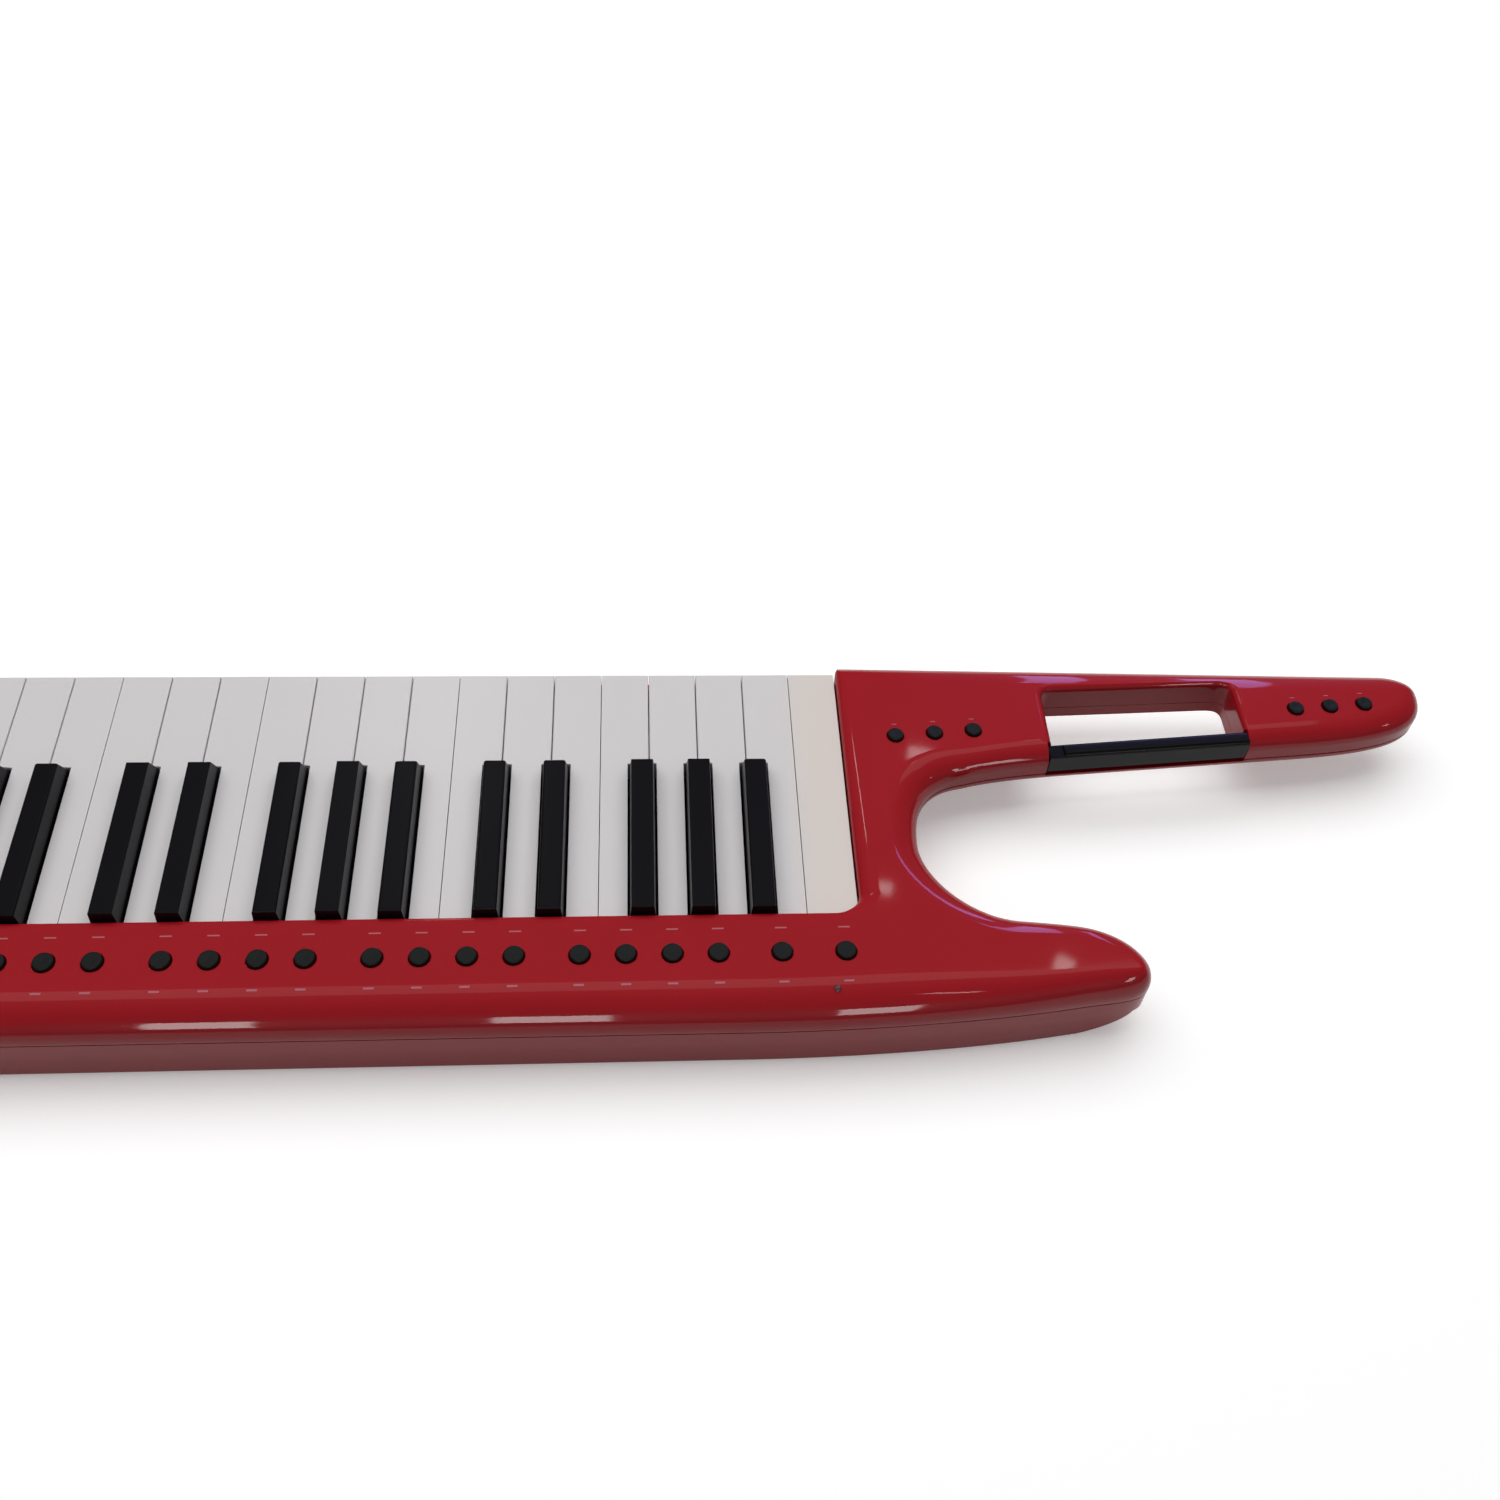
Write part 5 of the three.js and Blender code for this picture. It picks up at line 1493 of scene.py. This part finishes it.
@dataclass
class SocketPlate:
    """The plate at the treble end with a round socket, a pedal jack and a power inlet."""

    face: float = 695.5
    y: Point = (34.0, 90.0)
    z: Point = (6.3, 26.3)
    wall: float = 2.4
    lap: float = 1.6
    depth: float = 13.0
    barrel_wall: float = 1.6
    end_wall: Point = (689.8, 706.0)
    sockets: tuple[Point, ...] = ((47.44, 7.6), (65.92, 3.5), (79.36, 3.5))  # depth and radius
    proud: tuple[float, ...] = (1.2, 1.0, 0.6)
    sleeve_gap: float = 0.1
    sleeve_wall: float = 0.6
    contact_ring: float = 4.6
    contact_count: int = 5

    def window(self) -> bpy.types.Object:
        """Return a cutter for the window in the case's end wall."""
        y = (self.y[0] + self.lap, self.y[1] - self.lap)
        z = (self.z[0] + self.lap, self.z[1] - self.lap)
        cutter = block("window", self.end_wall, y, z)
        soften(cutter, 1.2, 4, 60)
        return cutter

    def barrel(self, name: str, x: Point, y: float, radius: float, sides: int = 40) -> bpy.types.Object:
        """Add a cylinder along X at the sockets' height."""
        clear_selection()
        bpy.ops.mesh.primitive_cylinder_add(
            vertices=sides,
            radius=radius * MM,
            depth=(x[1] - x[0]) * MM,
            location=FRAME.at(sum(x) / 2, y, sum(self.z) / 2),
            rotation=(0.0, QUARTER, 0.0),
        )
        return settle(named(name))

    def build(self, palette: Palette) -> Iterable[bpy.types.Object]:
        """Model the plate, its sockets' barrels and what lies in them."""
        piece = block("socket_plate", (self.face - self.wall, self.face), self.y, self.z)
        for y, radius in self.sockets:
            length = (self.face - self.depth - self.barrel_wall, self.face - 0.6)
            combine(piece, self.barrel("barrel", length, y, radius + self.barrel_wall), "UNION")
        for y, radius in self.sockets:
            combine(piece, self.barrel("bore", (self.face - self.depth, self.face + 6.0), y, radius))
        soften(piece, 0.25, 2, 50)
        shade(piece)
        palette.dress(piece, SOCKET_PLATE)
        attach(piece, CASE)
        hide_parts("jack_plate")
        yield piece
        yield from self.inserts(palette)

    def inserts(self, palette: Palette) -> Iterable[bpy.types.Object]:
        """Model the metal sleeves, the contact block and the power pin."""
        bottom = self.face - self.depth
        for name, (y, radius), proud in zip(("round", "jack", "power"), self.sockets, self.proud):
            outer = radius - self.sleeve_gap
            sleeve = self.barrel("sleeve", (bottom + 0.2, self.face + proud), y, outer)
            bore = self.barrel("inside", (bottom + 1.2, self.face + 8.0), y, outer - self.sleeve_wall)
            combine(sleeve, bore)
            soften(sleeve, 0.2, 2, 50)
            sleeve.name = f"{name}_socket_sleeve"
            shade(sleeve)
            palette.dress(sleeve, NICKEL)
            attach(sleeve, CASE)
            yield sleeve
        y, radius = self.sockets[0]
        contacts = self.barrel("contact_block", (bottom + 1.3, self.face - 5.0), y, radius - 0.8)
        for step in range(self.contact_count):
            angle = math.radians(90 + 45 * (step - 2)) + QUARTER
            out = Vector((0.0, math.sin(angle), math.cos(angle))) * self.contact_ring * MM
            hole = self.barrel("contact", (self.face - 9.0, self.face - 2.0), y, 0.75, 16)
            hole.data.transform(Matrix.Translation(out))
            combine(contacts, hole)
        shade(contacts)
        palette.dress(contacts, SOCKET_PLATE)
        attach(contacts, CASE)
        yield contacts
        y, _ = self.sockets[2]
        pin = self.barrel("power_pin", (bottom + 1.3, self.face - 2.5), y, 1.0, 20)
        soften(pin, 0.4, 3, 50)
        shade(pin)
        palette.dress(pin, NICKEL)
        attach(pin, CASE)
        yield pin


@dataclass
class StrapPins:
    """The two turned strap pins."""

    length: float = 13.0
    head: float = 6.5
    neck: float = 3.0
    base: float = 5.4
    under_neck: tuple[float, float, float] = (-58.0, 24.0, 21.7)
    on_end: tuple[float, float, float] = (700.3, 112.0, 23.4)

    def profile(self) -> list[Point]:
        """Return the pin's profile as radius and height, from the base up."""
        top, head, neck, base = self.length, self.head, self.neck, self.base
        head_low = top - 3.4
        points = [(0.0, 0.0), (base - 0.3, 0.0), (base, 0.3), (base, 1.1)]
        points += bezier([(base, 1.1), (neck + 0.3, 1.6), (neck, 3.2)], 6)
        points += bezier([(neck, head_low - 1.2), (neck + 0.2, head_low), (head - 0.5, top - 1.9)], 6)
        points += bezier([(head, top - 1.4), (head, top - 0.3), (head - 0.85, top)], 5)
        points.append((0.0, top))
        return points

    def model(self, name: str) -> bpy.types.Object:
        """Return a pin that stands at the origin, turned from its profile."""
        clear_selection()
        profile = self.profile()
        bpy.ops.mesh.primitive_circle_add(vertices=len(profile), radius=1.0, fill_type="NOTHING")
        piece = named(name)
        for vertex, (radius, height) in zip(piece.data.vertices, profile):
            vertex.co = Vector((radius, 0.0, height)) * MM
        bpy.ops.object.mode_set(mode="EDIT")
        bpy.ops.mesh.select_all(action="SELECT")
        bpy.ops.mesh.spin(steps=48, angle=math.tau, center=(0.0, 0.0, 0.0), axis=(0.0, 0.0, 1.0))
        bpy.ops.mesh.select_all(action="SELECT")
        bpy.ops.mesh.remove_doubles(threshold=SAME_PLACE * MM)
        bpy.ops.mesh.select_all(action="DESELECT")
        mesh = bmesh.from_edit_mesh(piece.data)
        axis = [e for e in mesh.edges if all(v.co.xy.length < 1e-6 for v in e.verts)]
        bmesh.ops.delete(mesh, geom=axis, context="EDGES")
        bmesh.update_edit_mesh(piece.data)
        face_outwards()
        return piece

    def build(self, palette: Palette) -> Iterable[bpy.types.Object]:
        """Model both pins, each in its place on the case."""
        places = {
            "strap_pin_neck": (self.under_neck, Matrix.Rotation(math.pi, 4, "X")),
            "strap_pin_end": (self.on_end, Matrix.Rotation(QUARTER, 4, "Y")),
        }
        for node, (place, turn) in places.items():
            piece = self.model(node + "_turned")
            piece.data.transform(Matrix.Translation(FRAME.at(*place)) @ turn)
            shade(piece)
            palette.dress(piece, NICKEL)
            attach(piece, CASE)
            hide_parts(node)
            yield piece


@dataclass
class PanelMarks:
    """Plain printed ticks by the buttons, and the lamp at the panel's bass end."""

    buttons: Buttons
    top: float = 44.0
    rear: float = 199.0
    drop: float = 14.0
    reach: float = 18.2
    thickness: float = 0.06
    rearward: float = 15.0
    forward: float = 12.4
    rear_tick: Point = (4.4, 1.0)
    front_tick: Point = (5.2, 0.7)
    neck_tick: Point = (2.4, 0.5)
    neck_gap: float = 3.4
    lamp: Point = (13.7, 185.8)
    lamp_radius: float = 1.7
    lamp_flatness: float = 0.55
    lamp_sunk: float = 0.2

    def surface(self, y: float) -> tuple[float, float]:
        """Return the panel's height at a depth, and how far it leans there."""
        share = max(self.reach - (self.rear - y), 0.0) / self.reach
        upright = math.sqrt(1.0 - share * share)
        return self.top - self.drop * (1.0 - upright), math.atan2(self.drop * share, self.reach * upright)

    def tick(self, x: float, y: float, size: Point) -> bpy.types.Object:
        """Model one printed tick, flush on the panel."""
        wide, deep = size[0] / 2, size[1] / 2
        height, lean = self.surface(y)
        ink = (height - self.thickness, height + self.thickness)
        mark = block("tick", (x - wide, x + wide), (y - deep, y + deep), ink)
        middle = Matrix.Translation(FRAME.at(x, y, height))
        mark.data.transform(middle @ Matrix.Rotation(-lean, 4, "X") @ middle.inverted())
        return mark

    def build(self, palette: Palette) -> Iterable[bpy.types.Object]:
        """Model the ticks of the panel and the neck, and the lamp."""
        ticks = []
        for node, (radius, places) in self.buttons.gangs().items():
            for x, y in places:
                if node.startswith("panel"):
                    ticks.append(self.tick(x, y + self.rearward, self.rear_tick))
                    ticks.append(self.tick(x, y - self.forward, self.front_tick))
                else:
                    ticks.append(self.tick(x, y - radius - self.neck_gap, self.neck_tick))
        marks = join("printed_ticks", ticks)
        palette.dress(marks, INK)
        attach(marks, CASE)
        yield marks
        clear_selection()
        bpy.ops.mesh.primitive_uv_sphere_add(segments=32, ring_count=16, radius=self.lamp_radius * MM)
        lamp = named("panel_lamp")
        lamp.scale = (1.0, 1.0, self.lamp_flatness)
        settle(lamp)
        height, _ = self.surface(self.lamp[1])
        lamp.data.transform(Matrix.Translation(FRAME.at(*self.lamp, height - self.lamp_sunk)))
        shade(lamp)
        palette.dress(lamp, LENS)
        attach(lamp, CASE)
        yield lamp


# ---------------------------------------------------------------- studio


@dataclass(frozen=True)
class Lamp:
    """An area lamp: its place and target in metres, its size and power, and what it does."""

    name: str
    place: Place
    target: Place
    size: Point
    power: float
    colour: str = "#FFFFFF"
    lights: bool = True
    shines: bool = True


def glint(
    name: str, place: Place, target: Place, size: Point, power: float, colour: str = "#FFFFFF"
) -> Lamp:
    """Return a lamp that shows only as a highlight."""
    return Lamp(name, place, target, size, power, colour, lights=False)


def window(name: str, place: Place, size: Point, power: float, colour: str = "#FFFFFF") -> Lamp:
    """Return a highlight lamp that faces the part squarely, so that its mirror image stands straight."""
    return glint(name, place, (place[0], 0.0, 0.0), size, power, colour)


@dataclass
class Studio:
    """Floor, lights and the photograph's camera."""

    eye: Place = (-0.10807, 0.42797, 0.62985)
    elevation: float = 51.0
    yaw: float = 6.32
    roll: float = -4.56
    focal: float = 1559.56  # in pixels of the frame's width
    frame_width: float = 1500.0
    sensor: float = 36.0
    lamps: tuple[Lamp, ...] = (
        Lamp("main, above", (0.0, -0.6, 1.9), (-0.05, 0.0, 0.0), (3.2, 2.0), 39.5, shines=False),
        # these show only as highlights: one long crease, panes on the front edge, violet bands, spots
        glint("crease", (0.0, -0.55, 1.9), (-0.05, 0.0, 0.0), (2.8, 0.7), 5.0),
        window("window, left", (0.745, 2.3, 1.02), (0.21, 0.9), 7.0),
        window("window, middle", (0.07, 2.3, 1.02), (0.23, 0.9), 7.2),
        window("window, right", (-0.69, 2.2, 1.02), (0.21, 0.8), 5.6),
        window("window, far right", (-1.4, 1.9, 1.1), (0.2, 0.6), 3.4),
        glint("cheek", (0.25, -1.4, 1.65), (-0.2, 0.0, 0.0), (0.08, 0.35), 0.9),
        window("violet, root", (-0.99, -2.2, 1.25), (0.13, 1.5), 4.6, "#A5A1FF"),
        window("violet, tip", (-1.33, -2.1, 1.25), (0.16, 1.5), 5.4, "#A5A1FF"),
        glint("spot, horn top", (-0.868, -1.007, 1.867), (-0.293, 0.079, 0.044), (0.034, 0.028), 0.026),
        glint("spot, horn rear", (-0.747, 1.026, 1.968), (-0.242, 0.09, 0.042), (0.03, 0.3), 0.3),
        glint("spot, neck root", (-0.633, -1.392, 1.736), (-0.243, -0.04, 0.044), (0.047, 0.023), 0.03),
        glint("spot, cut-out", (-1.995, 0.815, 1.076), (-0.248, -0.03, 0.04), (0.12, 0.12), 0.6),
        glint("spot, cheek", (-0.556, -1.169, 1.853), (-0.218, 0.037, 0.044), (0.028, 0.023), 0.017),
    )
    floor_size: float = 14.0
    floor_height: float = -0.0004
    surround: float = 0.2
    paper: float = 0.5  # the floor's colour for bounced light
    paper_seen: float = 1.34  # the same for the camera and for mirrored and refracted rays
    glow: float = 0.3  # share of even white that these rays see besides

    def camera(self) -> None:
        """Set the camera at the photograph's place and angle."""
        tilt, turn, lean = (math.radians(a) for a in (self.elevation, self.yaw, self.roll))
        ahead = Vector((math.sin(turn) * math.cos(tilt), math.cos(turn) * math.cos(tilt), -math.sin(tilt)))
        right = Vector((math.cos(turn), -math.sin(turn), 0.0))
        down = ahead.cross(right)
        leaned_right = right * math.cos(lean) + down * math.sin(lean)
        leaned_down = -right * math.sin(lean) + down * math.cos(lean)
        flip = Vector((-1.0, -1.0, 1.0))
        axes = [leaned_right * flip, -leaned_down * flip, -ahead * flip]
        turned = Matrix([[axis[row] for axis in axes] for row in range(3)]).to_4x4()
        data = bpy.data.cameras.new("photograph")
        data.sensor_width = self.sensor
        data.lens = self.sensor * self.focal / self.frame_width
        data.clip_start = 0.01
        view = bpy.data.objects.new("photograph", data)
        bpy.context.scene.collection.objects.link(view)
        view.matrix_world = Matrix.Translation(self.eye) @ turned
        bpy.context.scene.camera = view

    def floor(self) -> None:
        """Lay a plain pale floor that looks white to the camera."""
        clear_selection()
        bpy.ops.mesh.primitive_plane_add(size=self.floor_size, location=(0.0, 0.0, self.floor_height))
        floor = named("floor")
        made, tree = blank("white paper sweep")
        seen = self.seen(tree, "Is Glossy Ray", "Is Transmission Ray")
        tones = {"Value": seen, "To Min": self.paper, "To Max": self.paper_seen}
        white = add_node(tree, "ShaderNodeMapRange", tones)
        matt = add_node(tree, "ShaderNodeBsdfDiffuse", {"Color": white.outputs["Result"]})
        even = add_node(tree, "ShaderNodeEmission", {"Color": linear("#FFFFFF"), "Strength": 1.0})
        share = add_node(tree, "ShaderNodeMath", {0: seen, 1: self.glow}, operation="MULTIPLY")
        self.blend(tree, share.outputs[0], matt, even, "Material Output")
        floor.data.materials.append(made)

    def blend(
        self,
        tree: bpy.types.NodeTree,
        share: bpy.types.NodeSocket,
        first: bpy.types.Node,
        second: bpy.types.Node,
        output: str,
    ) -> None:
        """Mix two shaders into a tree's output.

        Args:
            tree: The node tree.
            share: How much of the second shows.
            first: The first shader.
            second: The second shader.
            output: The output node's name.
        """
        mixed = add_node(
            tree, "ShaderNodeMixShader", {0: share, 1: first.outputs[0], 2: second.outputs[0]}
        )
        tree.links.new(mixed.outputs[0], tree.nodes[output].inputs["Surface"])

    def seen(self, tree: bpy.types.NodeTree, *others: str) -> bpy.types.NodeSocket:
        """Return a socket that is 1 for rays from the camera and for other named kinds of ray."""
        path = add_node(tree, "ShaderNodeLightPath").outputs
        socket = path["Is Camera Ray"]
        for kind in others:
            either = add_node(tree, "ShaderNodeMath", {0: socket, 1: path[kind]}, operation="MAXIMUM")
            socket = either.outputs[0]
        return socket

    def light(self) -> None:
        """Set the lamps and the world's even light."""
        for lamp in self.lamps:
            data = bpy.data.lights.new(lamp.name, "AREA")
            data.shape = "RECTANGLE"
            data.size, data.size_y = lamp.size
            data.energy = lamp.power
            data.color = linear(lamp.colour)[:3]
            held = bpy.data.objects.new(lamp.name, data)
            bpy.context.scene.collection.objects.link(held)
            held.location = lamp.place
            held.visible_diffuse = lamp.lights
            held.visible_glossy = lamp.shines
            aim = Vector(lamp.target) - Vector(lamp.place)
            held.rotation_euler = aim.to_track_quat("-Z", "Y").to_euler()
        world = bpy.data.worlds.new("studio")
        bpy.context.scene.world = world
        world.use_nodes = True
        tree = world.node_tree
        back = tree.nodes["Background"]
        back.inputs["Color"].default_value = linear("#FFFFFF")
        back.inputs["Strength"].default_value = self.surround
        shown = add_node(tree, "ShaderNodeBackground", {"Color": linear("#FFFFFF"), "Strength": 1.0})
        self.blend(tree, self.seen(tree, "Is Transmission Ray"), back, shown, "World Output")

    def build(self) -> None:
        """Set the studio up."""
        bpy.context.scene.view_settings.view_transform = "Standard"
        self.camera()
        self.floor()
        self.light()


def main() -> None:
    """Build the instrument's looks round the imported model."""
    logging.basicConfig(level=logging.INFO, format="%(message)s")
    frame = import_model()
    clear_selection()
    palette = Palette()
    Studio().build()
    outline = CaseOutline()
    rim = Rim(outline.points(), outline.rounding, outline.spread)
    neck = Neck(outline)
    buttons = Buttons(outline)
    upper = UpperShell(rim, outline.front, neck, buttons)
    lower = LowerShell(rim, neck, upper)
    made = [upper.build(palette), lower.build(palette)]
    made += lower.build_screws(palette)
    made += Keys(frame["nodes"], KeyKind.WHITE, rounding=0.7, segments=3).build(palette)
    made += Keys(frame["nodes"], KeyKind.BLACK, rounding=1.1, segments=4).build(palette)
    made += buttons.build(palette)
    made.append(ExpressionBar(neck).build(palette))
    made += SocketPlate().build(palette)
    made += StrapPins().build(palette)
    made += PanelMarks(buttons).build(palette)
    palette.dress(frame["nodes"]["key_chassis"], CHASSIS)
    palette.dress(frame["nodes"]["control_board"], BOARD)
    for piece in made:
        log.info("%s: %d faces", piece.name, len(piece.data.polygons))


if __name__ == "__main__":
    main()
